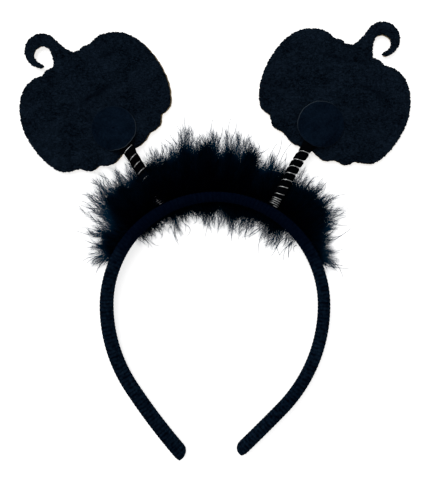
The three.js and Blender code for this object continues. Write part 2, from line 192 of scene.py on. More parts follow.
def along_line(points: Array, distances: Array) -> tuple[Array, Array]:
    """Places and directions at distances along a line of points.

    Args:
        points: The line's points, close together.
        distances: Distances from its first point.

    Returns:
        The places, and the unit directions there.
    """
    steps = np.linalg.norm(np.diff(points, axis=0), axis=1)
    run = np.concatenate([[0], np.cumsum(steps)])
    slopes = np.gradient(points, run, axis=0)
    places, ways = (
        np.stack([np.interp(distances, run, column) for column in table.T], axis=-1)
        for table in (points, slopes)
    )
    return places, ways / np.linalg.norm(ways, axis=-1, keepdims=True)


def line_length(points: Array) -> float:
    """The length of a line of points."""
    return float(np.linalg.norm(np.diff(points, axis=0), axis=1).sum())


def distance_to(line: Array, spots: Array) -> Array:
    """How far each spot is from the nearest point of a line."""
    return np.array([np.sqrt(np.min(np.sum((line - spot) ** 2, axis=1))) for spot in spots])


def near_line(points: Array, line: Array, margin: float) -> Array:
    """The indices of the points that lie, in plan, within a margin of the box round a line."""
    low, high = line[:, :2].min(axis=0) - margin, line[:, :2].max(axis=0) + margin
    return np.flatnonzero(np.all((points[:, :2] > low) & (points[:, :2] < high), axis=1))


def keep_value(mesh: Mesh, name: str, numbers: Array) -> None:
    """Keeps a number for each of a mesh's points under a name."""
    mesh.attributes.new(name, "FLOAT", "POINT").data.foreach_set("value", numbers.astype(np.float32))


def shade_smooth(mesh: Mesh) -> None:
    """Makes all of a mesh's faces smooth."""
    mesh.polygons.foreach_set("use_smooth", np.ones(len(mesh.polygons), bool))


def add_object(name: str, data: ID) -> Object:
    """Makes an object of a mesh, a lamp or a camera and puts it in the scene.

    Args:
        name: The object's name.
        data: What it shows.

    Returns:
        The object, at the origin.
    """
    made = bpy.data.objects.new(name, data)
    bpy.context.scene.collection.objects.link(made)
    return made


@dataclass
class Surface:
    """Points in millimetres, the faces or edges between them, and values that belong to the points."""

    points: Array
    faces: list[tuple[int, ...]] = field(default_factory=list)
    edges: list[tuple[int, int]] = field(default_factory=list)
    values: dict[str, Array] = field(default_factory=dict)

    def mesh(self, name: str) -> Mesh:
        """Makes a smooth mesh in metres.

        Args:
            name: The mesh's name.

        Returns:
            The mesh, with the values as point attributes.
        """
        made = bpy.data.meshes.new(name)
        made.from_pydata((self.points * MM).tolist(), self.edges, self.faces)
        for key, numbers in self.values.items():
            keep_value(made, key, numbers)
        shade_smooth(made)
        made.update()
        return made

    @staticmethod
    def strand(points: Array, **values: Array) -> "Surface":
        """A line of points joined by edges, with the values that belong to them."""
        edges = [(i, i + 1) for i in range(len(points) - 1)]
        return Surface(points, edges=edges, values=values)

    @staticmethod
    def joined(parts: Iterable["Surface"]) -> "Surface":
        """Puts several surfaces into one, with the values that the first one has.

        Args:
            parts: The surfaces.

        Returns:
            One surface.
        """
        rows = list(parts)
        starts = np.cumsum([0] + [len(part.points) for part in rows]).tolist()
        faces = [tuple(i + start for i in face) for part, start in zip(rows, starts) for face in part.faces]
        edges = [(a + start, b + start) for part, start in zip(rows, starts) for a, b in part.edges]
        values = {key: np.concatenate([part.values[key] for part in rows]) for key in rows[0].values}
        return Surface(np.concatenate([part.points for part in rows]), faces, edges, values)


def loft(rings: Array) -> Surface:
    """A closed skin through rings of points, each anticlockwise round the way from first to last.

    Args:
        rings: Points by ring, side and coordinate.

    Returns:
        The skin with its two end caps.
    """
    count, sides, _ = rings.shape
    start = np.arange(count - 1)[:, None] * sides
    side = np.arange(sides)[None, :]
    after = (side + 1) % sides
    quads = np.stack([start + side, start + after, start + after + sides, start + side + sides], axis=-1)
    faces = [tuple(quad) for quad in quads.reshape(-1, 4).tolist()]
    last = (count - 1) * sides
    caps = [tuple(range(sides))[::-1], tuple(range(last, last + sides))]
    return Surface(rings.reshape(-1, 3), faces + caps)


def ring_angles(sides: int) -> Array:
    """Angles of a ring's points, the first half a side past the direction across."""
    return math.tau * (np.arange(sides) + 0.5) / sides


def oval_rings(
    centre: Array, across: Array, up: Array, half_across: Array, half_up: Array,
    sides: int, power: float = 2.0,
) -> Array:
    """Oval rings round a line of centres, square-shouldered where power is above 2.

    Args:
        centre: Centres, a row for each ring.
        across: Directions across the rings.
        up: Directions up the rings.
        half_across: Half sizes across, for each ring or for each point of it.
        half_up: Half sizes upwards, likewise.
        sides: Points in a ring.
        power: 2 for an ellipse.

    Returns:
        Points by ring, side and coordinate.
    """
    angle = ring_angles(sides)
    run, rise = (np.sign(wave) * np.abs(wave) ** (2 / power) for wave in (np.cos(angle), np.sin(angle)))
    wide = np.reshape(half_across, (len(centre), -1)) * run
    high = np.reshape(half_up, (len(centre), -1)) * rise
    return centre[:, None] + wide[..., None] * across[:, None] + high[..., None] * up[:, None]


class NodeMaker:
    """Adds nodes to one tree, with their options set and their inputs set or linked."""

    def __init__(self, tree: NodeTree) -> None:
        """Works on a node tree."""
        self.tree = tree

    def feed(self, node: Node, inputs: Inputs) -> None:
        """Sets or links a node's inputs.

        Args:
            node: The node.
            inputs: Input name or index to a value, or to an output socket to link.
        """
        for key, value in inputs.items():
            if isinstance(value, NodeSocket):
                self.tree.links.new(value, node.inputs[key])
            else:
                node.inputs[key].default_value = value

    def add(self, kind: str, inputs: Inputs | None = None, **options: object) -> Node:
        """Adds a node.

        Args:
            kind: The node's type.
            inputs: What its inputs are set or linked to.
            options: The node's options, set before its inputs.

        Returns:
            The node.
        """
        made = self.tree.nodes.new(kind)
        for key, value in options.items():
            setattr(made, key, value)
        self.feed(made, inputs or {})
        return made

    def result(self, kind: str, inputs: Inputs | None = None, **options: object) -> NodeSocket:
        """Adds a node and returns its first output."""
        return self.add(kind, inputs, **options).outputs[0]

    def math(self, operation: str, *terms: object) -> NodeSocket:
        """Adds a math node on some terms and returns its result."""
        return self.result("ShaderNodeMath", dict(enumerate(terms)), operation=operation)


class GrowthTree(NodeMaker):
    """A Geometry Nodes tree with named inputs, put on a mesh and turned into a plain mesh again."""

    def __init__(self, name: str, numbers: Iterable[str], hairs: Iterable[str] = ()) -> None:
        """Starts a tree with its inputs: geometry, hairs to repeat, numbers, a seed and a material.

        Args:
            name: The tree's name.
            numbers: The names of the number inputs.
            hairs: The names of the inputs that take a hair.
        """
        super().__init__(bpy.data.node_groups.new(name, "GeometryNodeTree"))
        kinds = {"Geometry": "NodeSocketGeometry"} | dict.fromkeys(hairs, "NodeSocketObject")
        kinds |= dict.fromkeys(numbers, "NodeSocketFloat")
        kinds |= {"Seed": "NodeSocketInt", "Material": "NodeSocketMaterial"}
        new_socket = self.tree.interface.new_socket
        self.sockets: dict[str, str] = {}
        for key, kind in kinds.items():
            self.sockets[key] = new_socket(key, in_out="INPUT", socket_type=kind).identifier
        new_socket("Geometry", in_out="OUTPUT", socket_type="NodeSocketGeometry")
        self.given = self.tree.nodes.new("NodeGroupInput").outputs
        self.target = self.tree.nodes.new("NodeGroupOutput")

    def random(self, low: object, high: object, offset: int) -> NodeSocket:
        """A random number between two values, set apart from the tree's other draws by an offset."""
        inputs = {"Seed": self.math("ADD", self.given["Seed"], float(offset)), 2: low, 3: high}
        return self.add("FunctionNodeRandomValue", inputs, data_type="FLOAT").outputs[1]

    def value(self, name: str) -> NodeSocket:
        """The point value that a mesh carries under a name."""
        return self.result("GeometryNodeInputNamedAttribute", {"Name": name}, data_type="FLOAT")

    def turned(self, rotation: NodeSocket, **angles: object) -> NodeSocket:
        """Turns a rotation about its own axes, by radians for each axis."""
        inputs = {"Rotation": rotation, "Rotate By": self.result("ShaderNodeCombineXYZ", angles)}
        return self.result("FunctionNodeRotateRotation", inputs, rotation_space="LOCAL")

    def end(self, geometry: NodeSocket) -> None:
        """Realizes the instances and sets the material, which ends the tree.

        Args:
            geometry: What the tree has made.
        """
        real = self.result("GeometryNodeRealizeInstances", {"Geometry": geometry})
        inputs = {"Geometry": real, "Material": self.given["Material"]}
        self.feed(self.target, {0: self.result("GeometryNodeSetMaterial", inputs)})

    def plant(self, hair: str, points: Node, facing: object, length: object) -> None:
        """Puts a hair on every point, which ends the tree.

        Args:
            hair: The input that takes the hair.
            points: The node that makes the points.
            facing: The rotation of each hair.
            length: The length of each hair, in millimetres.
        """
        shape = self.add("GeometryNodeObjectInfo", {"Object": self.given[hair]}).outputs["Geometry"]
        inputs = {
            "Points": points.outputs["Points"], "Instance": shape, "Rotation": facing,
            "Scale": self.math("MULTIPLY", length, MM),
        }
        self.end(self.result("GeometryNodeInstanceOnPoints", inputs))

    def grown(
        self, name: str, ground: Surface, material: Material, values: dict[str, object], seed: int = 0,
    ) -> Mesh:
        """Puts the tree on a surface and takes the result off as a plain mesh.

        Args:
            name: The name of the new mesh.
            ground: What the tree grows on.
            material: The material of what grows.
            values: Names of the other inputs to values, with hairs as spikes.
            seed: Start of the tree's random draws.

        Returns:
            The new mesh.
        """
        hairs = {key: value.carrier() for key, value in values.items() if isinstance(value, Spike)}
        carrier = add_object(f"{name}_carrier", ground.mesh(f"{name}_ground"))
        modifier = carrier.modifiers.new(self.tree.name, "NODES")
        modifier.node_group = self.tree
        for key, value in (values | hairs | {"Seed": seed, "Material": material}).items():
            modifier[self.sockets[key]] = value
        graph = bpy.context.evaluated_depsgraph_get()
        made = bpy.data.meshes.new_from_object(carrier.evaluated_get(graph), depsgraph=graph)
        made.name = name
        carrier.modifiers.remove(modifier)
        for spare in (carrier, *hairs.values()):
            bpy.data.objects.remove(spare)
        shade_smooth(made)
        return made


def rib_tree() -> GrowthTree:
    """Presses cross ribs into a band whose points carry their distance along it and how ribbed it is there.

    Returns:
        A tree that raises the ribs, presses in what lies between them, and keeps as "rib" how dark the
        ribbon is painted: painted shade that deepens between the ribs, and a fine random mottle.
    """
    waver_scale, waver_detail = 160.0, 2.0
    mottle_scale, mottle_detail = 560.0, 3.0
    crest_roundness, crest_height = 0.6, 0.45
    valley_shade, mottle_middle, mottle_shade = 0.7, 0.4, 3.0
    grow = GrowthTree("Cross ribs", ("Pitch", "Depth", "Waver"))
    given = grow.given
    place = grow.result("GeometryNodeInputPosition")

    def noise(scale: float, detail: float) -> NodeSocket:
        """Noise over the band, by the tree's seed."""
        inputs = {"Vector": place, "W": given["Seed"], "Scale": scale, "Detail": detail}
        return grow.result("ShaderNodeTexNoise", inputs, noise_dimensions="4D")

    waver = grow.math("SUBTRACT", noise(waver_scale, waver_detail), 0.5)
    shift = grow.math("MULTIPLY", waver, given["Waver"])
    turns = grow.math("ADD", grow.math("DIVIDE", grow.value("along"), given["Pitch"]), shift)
    wave = grow.math("ABSOLUTE", grow.math("SINE", grow.math("MULTIPLY", turns, math.pi)))
    crest = grow.math("POWER", wave, crest_roundness)
    ribbed = grow.value("ribbed")
    valley = grow.math("MULTIPLY", grow.math("SUBTRACT", 1.0, crest), ribbed)
    raised = grow.math("MULTIPLY", ribbed, crest_height)
    rise = grow.math("MULTIPLY", grow.math("SUBTRACT", raised, valley), given["Depth"])
    inputs = {0: grow.result("GeometryNodeInputNormal"), "Scale": grow.math("MULTIPLY", rise, MM)}
    offset = grow.result("ShaderNodeVectorMath", inputs, operation="SCALE")
    pressed = grow.result("GeometryNodeSetPosition", {"Geometry": given["Geometry"], "Offset": offset})
    mottle = grow.math("SUBTRACT", noise(mottle_scale, mottle_detail), mottle_middle)
    worn = grow.math("MULTIPLY", mottle, mottle_shade)
    # Painted shade between the ribs, plus a random mottle, kept as "rib".
    painted_shade_and_mottle = grow.math("ADD", grow.math("MULTIPLY", valley, valley_shade), worn)
    inputs = {"Geometry": pressed, "Name": "rib", "Value": painted_shade_and_mottle}
    grow.end(grow.result("GeometryNodeStoreNamedAttribute", inputs, data_type="FLOAT", domain="POINT"))
    return grow


@functools.cache
def strand_tree() -> GrowthTree:
    """Sweeps a round section along lines whose points carry a "size", such as a coil's wire or a wisp.

    Returns:
        A tree that turns edges into tubes.
    """
    grow = GrowthTree("Round strands", ("Radius", "Sides"))
    given = grow.given
    lines = grow.result("GeometryNodeMeshToCurve", {"Mesh": given["Geometry"]})
    sides = grow.result("FunctionNodeFloatToInt", {0: given["Sides"]}, rounding_mode="ROUND")
    inputs = {"Resolution": sides, "Radius": grow.math("MULTIPLY", given["Radius"], MM)}
    section = grow.result("GeometryNodeCurvePrimitiveCircle", inputs, mode="RADIUS")
    inputs = {"Curve": lines, "Profile Curve": section, "Scale": grow.value("size"), "Fill Caps": True}
    grow.end(grow.result("GeometryNodeCurveToMesh", inputs))
    return grow


@functools.cache
def barb_tree() -> GrowthTree:
    """Grows barbs along the shafts of feathers, on both sides and leaning towards the tip.

    The shafts' points carry their share of the way to the tip as "along".

    Returns:
        A tree that puts curved barbs on the shafts.
    """
    least_spread, most_spread = 0.5, 1.4
    shortest, length_range = 0.45, 0.8
    twist = 1.2
    numbers = ("Spacing", "Foot length", "Tip length", "Foot spread", "Tip spread", "Roll")
    grow = GrowthTree("Feather barbs", numbers, ("Barb",))
    given = grow.given
    lines = grow.result("GeometryNodeMeshToCurve", {"Mesh": given["Geometry"]})
    level = grow.result("GeometryNodeSetCurveNormal", {"Curve": lines}, mode="Z_UP")
    inputs = {"Curve": level, "Length": grow.math("MULTIPLY", given["Spacing"], MM)}
    places = grow.add("GeometryNodeCurveToPoints", inputs, mode="LENGTH")
    along = grow.value("along")

    def between(foot: str, tip: str) -> NodeSocket:
        """A size that runs from the shaft's foot to its tip."""
        inputs = {0: along, 1: 0.0, 2: 1.0, 3: given[foot], 4: given[tip]}
        return grow.result("ShaderNodeMapRange", inputs)

    uneven = grow.random(least_spread, most_spread, 1)
    spread = grow.math("MULTIPLY", between("Foot spread", "Tip spread"), uneven)
    half_turn = grow.math("MULTIPLY", grow.math("ROUND", grow.random(0.0, 1.0, 2)), math.pi)
    minus_roll = grow.math("MULTIPLY", given["Roll"], -1.0)
    roll = grow.math("ADD", half_turn, grow.random(minus_roll, given["Roll"], 3))
    facing = grow.turned(places.outputs["Rotation"], Y=spread, Z=roll)
    facing = grow.turned(facing, Z=grow.random(-twist, twist, 5))
    uneven = grow.math("ADD", shortest, grow.math("MULTIPLY", grow.random(0.0, 1.0, 4), length_range))
    length = grow.math("MULTIPLY", between("Foot length", "Tip length"), uneven)
    grow.plant("Barb", places, facing, length)
    return grow


@functools.cache
def nap_tree() -> GrowthTree:
    """Scatters short fibres over a surface: the nap of felt, or the barbs at the edge of down.

    Returns:
        A tree that puts fibres on faces, denser where the points carry a higher "nap".
    """
    shortest, longest = 0.5, 1.3
    grow = GrowthTree("Felt nap", ("Density", "Length", "Lowest tilt", "Highest tilt"), ("Fibre",))
    given = grow.given
    density = grow.math("MULTIPLY", grow.math("MULTIPLY", given["Density"], 1 / MM / MM), grow.value("nap"))
    inputs = {"Mesh": given["Geometry"], "Density": density, "Seed": given["Seed"]}
    places = grow.add("GeometryNodeDistributePointsOnFaces", inputs, distribute_method="RANDOM")
    tilt = grow.random(given["Lowest tilt"], given["Highest tilt"], 1)
    facing = grow.turned(places.outputs["Rotation"], Y=tilt, Z=grow.random(0.0, math.tau, 2))
    length = grow.math("MULTIPLY", given["Length"], grow.random(shortest, longest, 3))
    grow.plant("Fibre", places, facing, length)
    return grow


@dataclass(frozen=True)
class Spike:
    """A pointed hair of length 1 along +Z, thick as a share of its length, that bends towards -X."""

    name: str
    radius: float
    bend: float
    steps: int = 2
    sides: int = 3
    taper: float = 0.6

    def carrier(self) -> Object:
        """Makes the hair as an object for a tree to repeat.

        Returns:
            The object, to be removed once the tree has been used.
        """
        share = np.arange(self.steps) / self.steps
        size = self.radius * (1 - share) ** self.taper
        angle = math.tau * np.arange(self.sides) / self.sides
        rings = np.zeros((self.steps, self.sides, 3))
        rings[..., 0] = size[:, None] * np.cos(angle) - (self.bend * share**2)[:, None]
        rings[..., 1] = size[:, None] * np.sin(angle)
        rings[..., 2] = share[:, None]
        points = np.concatenate([rings.reshape(-1, 3), [[-self.bend, 0, 1]]]) / MM
        skin = loft(rings)
        tip, last = len(points) - 1, (self.steps - 1) * self.sides
        point = [(last + i, last + (i + 1) % self.sides, tip) for i in range(self.sides)]
        return add_object(self.name, Surface(points, skin.faces[:-1] + point).mesh(self.name))


NAP_FIBRE = Spike("nap_fibre", 0.022, 0.35)
DOWN_BARB = Spike("down_barb", 0.018, 0.35)
FEATHER_BARB = Spike("barb", 0.019, 0.3)


class ShaderNodes(NodeMaker):
    """Nodes of one material or of one shared group."""

    def value(self, name: str) -> NodeSocket:
        """The point value that a mesh carries under a name."""
        return self.add("ShaderNodeAttribute", attribute_name=name).outputs["Fac"]

    def mixed(self, share: object, low: object, high: object) -> NodeSocket:
        """Mixes two colours, from the first where the share is 0 to the second where it is 1."""
        return self.add("ShaderNodeMix", {0: share, 6: low, 7: high}, data_type="RGBA").outputs[2]


@functools.cache
def tangled_fibres() -> NodeTree:
    """Tangled short fibres, as in felt or fluff: a group that more than one finish uses, built once.

    Returns:
        A group with inputs Size in millimetres and Stretch, and outputs Tangle and Cloud from 0 to 1.
    """
    lowest, highest = 0.36, 0.64
    group = bpy.data.node_groups.new("Tangled fibres", "ShaderNodeTree")
    for name in ("Size", "Stretch"):
        socket = group.interface.new_socket(name, in_out="INPUT", socket_type="NodeSocketFloat")
        socket.default_value = 1.0
    for name in ("Tangle", "Cloud"):
        group.interface.new_socket(name, in_out="OUTPUT", socket_type="NodeSocketFloat")
    nodes = ShaderNodes(group)
    given = group.nodes.new("NodeGroupInput").outputs
    out = group.nodes.new("NodeGroupOutput")
    place = nodes.add("ShaderNodeTexCoord").outputs["Object"]
    fine = nodes.math("DIVIDE", 1 / MM, given["Size"])
    squeeze = nodes.math("DIVIDE", fine, given["Stretch"])
    scale = nodes.result("ShaderNodeCombineXYZ", {"X": squeeze, "Y": fine, "Z": fine})
    spot = nodes.result("ShaderNodeVectorMath", {0: place, 1: scale}, operation="MULTIPLY")
    tangle = {"Vector": spot, "Scale": 1.0, "Detail": 2.5, "Roughness": 0.55, "Distortion": 1.2}
    cloud = {"Vector": spot, "Scale": 0.13, "Detail": 3.0, "Roughness": 0.6, "Distortion": 0.4}
    for name, inputs in (("Tangle", tangle), ("Cloud", cloud)):
        noise = nodes.result("ShaderNodeTexNoise", inputs)
        spread = nodes.result("ShaderNodeMapRange", {0: noise, 1: lowest, 2: highest})
        nodes.feed(out, {name: spread})
    return group


def new_material(name: str) -> tuple[Material, ShaderNodes, Node]:
    """Starts a material.

    Args:
        name: The material's name.

    Returns:
        The material, its nodes, and its Principled shader.
    """
    made = bpy.data.materials.new(name)
    made.use_nodes = True
    return made, ShaderNodes(made.node_tree), made.node_tree.nodes["Principled BSDF"]


@dataclass(frozen=True)
class FibreFinish:
    """A matt cloth finish of tangled fibres: felt, fluff, ribbon or the cloth of a core.

    Each of its tints is the name of a point value and the colour that shows where that value is 1. The tints
    paint light and shade into the colour; the ribbon's rib tint carries a random mottle as well.
    """

    name: str
    dark: Colour
    light: Colour
    size: float
    stretch: float
    bump: float
    bump_height: float
    roughness: float = 0.95
    cloud_share: float = 0.4
    tints: tuple[tuple[str, Colour], ...] = ()

    def tone(self, nodes: ShaderNodes, effect: Node) -> NodeSocket:
        """Mixes the finish's two tones by the fibres, and then its tints of painted light and shade.

        Args:
            nodes: The material's nodes.
            effect: The shared fibre group in it.

        Returns:
            The colour's socket.
        """
        cloud = nodes.math("MULTIPLY", effect.outputs["Cloud"], self.cloud_share)
        tangle = nodes.math("MULTIPLY", effect.outputs["Tangle"], 1 - self.cloud_share)
        tone = nodes.mixed(nodes.math("ADD", cloud, tangle), self.dark, self.light)
        for name, colour in self.tints:
            tone = nodes.mixed(nodes.value(name), tone, colour)
        return tone

    def material(self) -> Material:
        """Builds the material.

        Returns:
            A material whose colour and bump follow the fibres, with no gloss.
        """
        made, nodes, shader = new_material(self.name)
        inputs = {"Size": self.size, "Stretch": self.stretch}
        effect = nodes.add("ShaderNodeGroup", inputs, node_tree=tangled_fibres())
        height = self.bump_height * MM
        inputs = {"Height": effect.outputs["Tangle"], "Strength": self.bump, "Distance": height}
        bump = nodes.result("ShaderNodeBump", inputs)
        nodes.feed(shader, {"Roughness": self.roughness, "Specular IOR Level": 0.0})
        nodes.feed(shader, {"Base Color": self.tone(nodes, effect), "Normal": bump})
        return made


@dataclass(frozen=True)
class WireFinish:
    """Bright drawn steel wire with faint smears."""

    name: str
    colour: Colour
    smear: Colour
    low_roughness: float
    high_roughness: float
    smear_size: float = 0.6

    def material(self) -> Material:
        """Builds the material.

        Returns:
            A metal whose roughness and tone vary a little.
        """
        made, nodes, shader = new_material(self.name)
        effect = nodes.add("ShaderNodeGroup", {"Size": self.smear_size}, node_tree=tangled_fibres())
        inputs = {0: effect.outputs["Tangle"], 3: self.low_roughness, 4: self.high_roughness}
        rough = nodes.result("ShaderNodeMapRange", inputs)
        tone = nodes.mixed(effect.outputs["Cloud"], self.smear, self.colour)
        nodes.feed(shader, {"Metallic": 1.0, "Roughness": rough, "Base Color": tone})
        return made


# The "rim" tint is painted shade in the felt's creases.
FELT = FibreFinish(
    name="black_felt", dark=(0.0002, 0.0009, 0.0022, 1), light=(0.0086, 0.016, 0.0281, 1), size=1.0,
    stretch=1.4, bump=0.8, bump_height=0.3, cloud_share=0.3, tints=(("rim", (0.0008, 0.002, 0.0045, 1)),),
)
# The "rim" tint is a painted highlight on the patch's cut edge.
PATCH_CLOTH = FibreFinish(
    name="smooth_black_felt", dark=(0.0009, 0.0027, 0.0067, 1), light=(0.0043, 0.0101, 0.0209, 1), size=1.0,
    stretch=1.2, bump=0.45, bump_height=0.15, tints=(("rim", (0.046, 0.062, 0.08, 1)),),
)
TAN_FELT = FibreFinish(
    name="tan_felt", dark=(0.16, 0.115, 0.06, 1), light=(0.45, 0.35, 0.21, 1), size=0.5,
    stretch=1.4, bump=0.7, bump_height=0.2,
)
CORE_CLOTH = FibreFinish(
    name="core_cloth", dark=(0.0005, 0.0006, 0.001, 1), light=(0.0016, 0.002, 0.0031, 1), size=0.6,
    stretch=2.5, bump=0.8, bump_height=0.15,
)
# The "rim" tint is painted light on the feathers that stand out past the dense down.
PLUME = FibreFinish(
    name="black_down", dark=(0.0001, 0.0002, 0.0012, 1), light=(0.0004, 0.001, 0.004, 1), size=2.0,
    stretch=1.0, bump=0.0, bump_height=0.1, tints=(("rim", (0.002, 0.03, 0.072, 1)),),
)
# The "rib" tint is painted shade between the ribs, with a random mottle; the "crown" tint is painted shade
# from the down round the crown.
RIBBON = FibreFinish(
    name="ribbed_ribbon", dark=(0.0009, 0.0038, 0.0105, 1), light=(0.0078, 0.0186, 0.0352, 1), size=0.9,
    stretch=1.0, bump=0.7, bump_height=0.15,
    tints=(("rib", (0.0003, 0.0012, 0.0036, 1)), ("crown", (0.0003, 0.0015, 0.0069, 1))),
)
STEEL = WireFinish(
    name="drawn_steel", colour=(0.85, 0.86, 0.87, 1), smear=(0.5, 0.51, 0.52, 1), low_roughness=0.2,
    high_roughness=0.4,
)


def place_piece(
    name: str, shape: Surface | Mesh, material: Material, stands_for: str = "",
) -> Object:
    """Makes a finished piece of the headband and reports it.

    Args:
        name: The piece's name.
        shape: Its final shape, in place.
        material: Its material.
        stands_for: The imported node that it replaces, if any.

    Returns:
        The piece, which rides on the headband's one body.
    """
    mesh = shape.mesh(name) if isinstance(shape, Surface) else shape
    mesh.name = name
    mesh.materials.clear()
    mesh.materials.append(material)
    piece = add_object(name, mesh)
    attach(piece, BODY)
    if stands_for:
        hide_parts(stands_for)
    triangles = sum(len(polygon.vertices) - 2 for polygon in mesh.polygons)
    LOG.info("%s: %d triangles", name, triangles)
    return piece


@dataclass(frozen=True)
class BandSection:
    """The band's thickness and outward lean, by the share of its length from the left tip."""

    share: float
    thickness: float
    lean: float


@dataclass(frozen=True)
class RibbedBand:
    """The band, covered in ribbed ribbon: a half circle, a wider arc on each side and two long tails.

    Its tips are plain for plain_tip, with no rib at all on plain_share of that. The crown is darkened with
    painted shade for the down round it, which fades between the distances of crown_fade from the middle,
    which are in crown radii along the band.
    """

    crown_x: float = 0.5
    crown_y: float = -36.8
    crown_radius: float = 61.8
    cheek_radius: float = 85.0
    width: float = 10.0
    squareness: float = 3.0
    crown_lift: float = 4.8
    tip_rounding: float = 5.0
    tip_size: float = 0.35
    plain_tip: float = 3.5
    plain_share: float = 0.2
    crown_shade: float = 0.85
    crown_fade: Pair = (0.85, 1.3)
    crown_points: int = 600
    cheek_points: int = 200
    tail_points: int = 120
    step: float = 0.24
    sides: int = 36
    rib_pitch: float = 2.19
    rib_depth: float = 0.2
    rib_waver: float = 0.55
    rib_seed: int = 4
    sections: tuple[BandSection, ...] = (
        BandSection(0, 6.8, 14), BandSection(0.15, 6.7, 13), BandSection(0.32, 6.8, 8),
        BandSection(0.5, 5.5, 0), BandSection(0.68, 6.8, -2.5), BandSection(0.85, 6.5, 4),
        BandSection(1, 6.4, 6),
    )

    def line(self) -> Array:
        """The band's middle line in plan, from the left tip over the crown to the right tip.

        Returns:
            Points close together, two columns.
        """
        arcs = []
        for layout in LAYOUTS:
            sign, sweep = layout.side.sign, math.radians(layout.cheek_sweep)
            centre = np.array([self.crown_x + sign * (self.crown_radius - self.cheek_radius), self.crown_y])
            turn = np.linspace(0, sweep, self.cheek_points)
            arc = centre + self.cheek_radius * np.column_stack([sign * np.cos(turn), -np.sin(turn)])
            tail_radius = layout.tail_length / math.radians(layout.tail_turn)
            turn = np.linspace(sweep, sweep + math.radians(layout.tail_turn), self.tail_points)[1:]
            tail_centre = arc[-1] - tail_radius * np.array([sign * math.cos(sweep), -math.sin(sweep)])
            tail = tail_centre + tail_radius * np.column_stack([sign * np.cos(turn), -np.sin(turn)])
            arcs.append(np.concatenate([arc, tail]))
        turn = np.linspace(-math.pi / 2, math.pi / 2, self.crown_points)[1:-1]
        crown = np.column_stack([np.sin(turn), np.cos(turn)]) * self.crown_radius
        return np.concatenate([arcs[0][::-1], crown + [self.crown_x, self.crown_y], arcs[1]])

    def section(self, share: Array) -> tuple[Array, Array]:
        """Half thickness and lean in radians at shares of the band's length."""
        half = read_rows(self.sections, "share", "thickness", share) / 2
        return half, np.radians(read_rows(self.sections, "share", "lean", share))

    def lift(self, y: Array) -> Array:
        """Height of the band's lower edge: the tips are on the floor and the crown on the trim's cord."""
        tip = self.line()[0, 1]
        return self.crown_lift * np.clip((y - tip) / (self.crown_y + self.crown_radius - tip), 0, 1)

    def half_thickness(self, angle: Array) -> Array:
        """Half the band's thickness at angles from the middle of the crown, in degrees."""
        share = 0.5 + np.radians(angle) * self.crown_radius / line_length(self.line())
        return self.section(share)[0]

    def round_crown(self, points: Array) -> tuple[Array, Array]:
        """Places seen from the middle of the crown.

        Args:
            points: Points, of which the first two columns are read.

        Returns:
            Angles in degrees clockwise from +Y, and distances out of the band's middle line.
        """
        away = points[:, :2] - [self.crown_x, self.crown_y]
        angle = np.degrees(np.arctan2(away[:, 0], away[:, 1]))
        return angle, np.linalg.norm(away, axis=1) - self.crown_radius

    def surface(self) -> Surface:
        """The band's plain skin, with each point's distance along it, how ribbed it is and its painted crown
        shade.

        Returns:
            The skin, with values "along", "ribbed" and "crown".
        """
        line = self.line()
        length = line_length(line)
        distance = np.linspace(0, length, round(length / self.step))
        place, way = along_line(line, distance)
        half, lean = self.section(distance / length)
        from_tip = np.minimum(distance, length - distance)
        bite = np.clip(from_tip / self.tip_rounding, 0, 1)
        size = self.tip_size + (1 - self.tip_size) * np.sqrt(1 - (1 - bite) ** 2)
        power = self.squareness / (self.squareness - 1)
        rise = (half * np.abs(np.sin(lean))) ** power + (self.width / 2 * np.cos(lean)) ** power
        centre = np.column_stack([place, self.lift(place[:, 1]) + rise ** (1 / power)])
        out = np.column_stack([-way[:, 1] * np.cos(lean), way[:, 0] * np.cos(lean), -np.sin(lean)])
        up = np.column_stack([-way[:, 1] * np.sin(lean), way[:, 0] * np.sin(lean), np.cos(lean)])
        tip_lean = np.where(distance < length / 2, LAYOUTS[0].tip_lean, LAYOUTS[1].tip_lean)
        centre += out * (half * (1 - size) * tip_lean)[:, None]
        skin = loft(
            oval_rings(centre, out, up, size * half, size * self.width / 2, self.sides, self.squareness)
        )
        ribbed = ease(from_tip, self.plain_share * self.plain_tip, self.plain_tip)
        # Painted shade at the crown, where the down stands round the band, fading away along it.
        fade = (self.crown_radius * share for share in self.crown_fade)
        crown = self.crown_shade * (1 - ease(np.abs(distance - length / 2), *fade))
        values = {"along": distance, "ribbed": ribbed, "crown": crown}
        skin.values = {key: np.repeat(value, self.sides) for key, value in values.items()}
        return skin

    def build(self) -> None:
        """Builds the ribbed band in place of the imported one."""
        material = RIBBON.material()
        values = {"Pitch": self.rib_pitch, "Depth": self.rib_depth, "Waver": self.rib_waver}
        mesh = rib_tree().grown("ribbed_band", self.surface(), material, values, self.rib_seed)
        place_piece("ribbed_band", mesh, material, "headband")


@dataclass(frozen=True)
class CoilStretch:
    """A stretch of a coil with one pitch; the one without a pitch fills what the others leave."""

    turns: float
    pitch: float | None = None


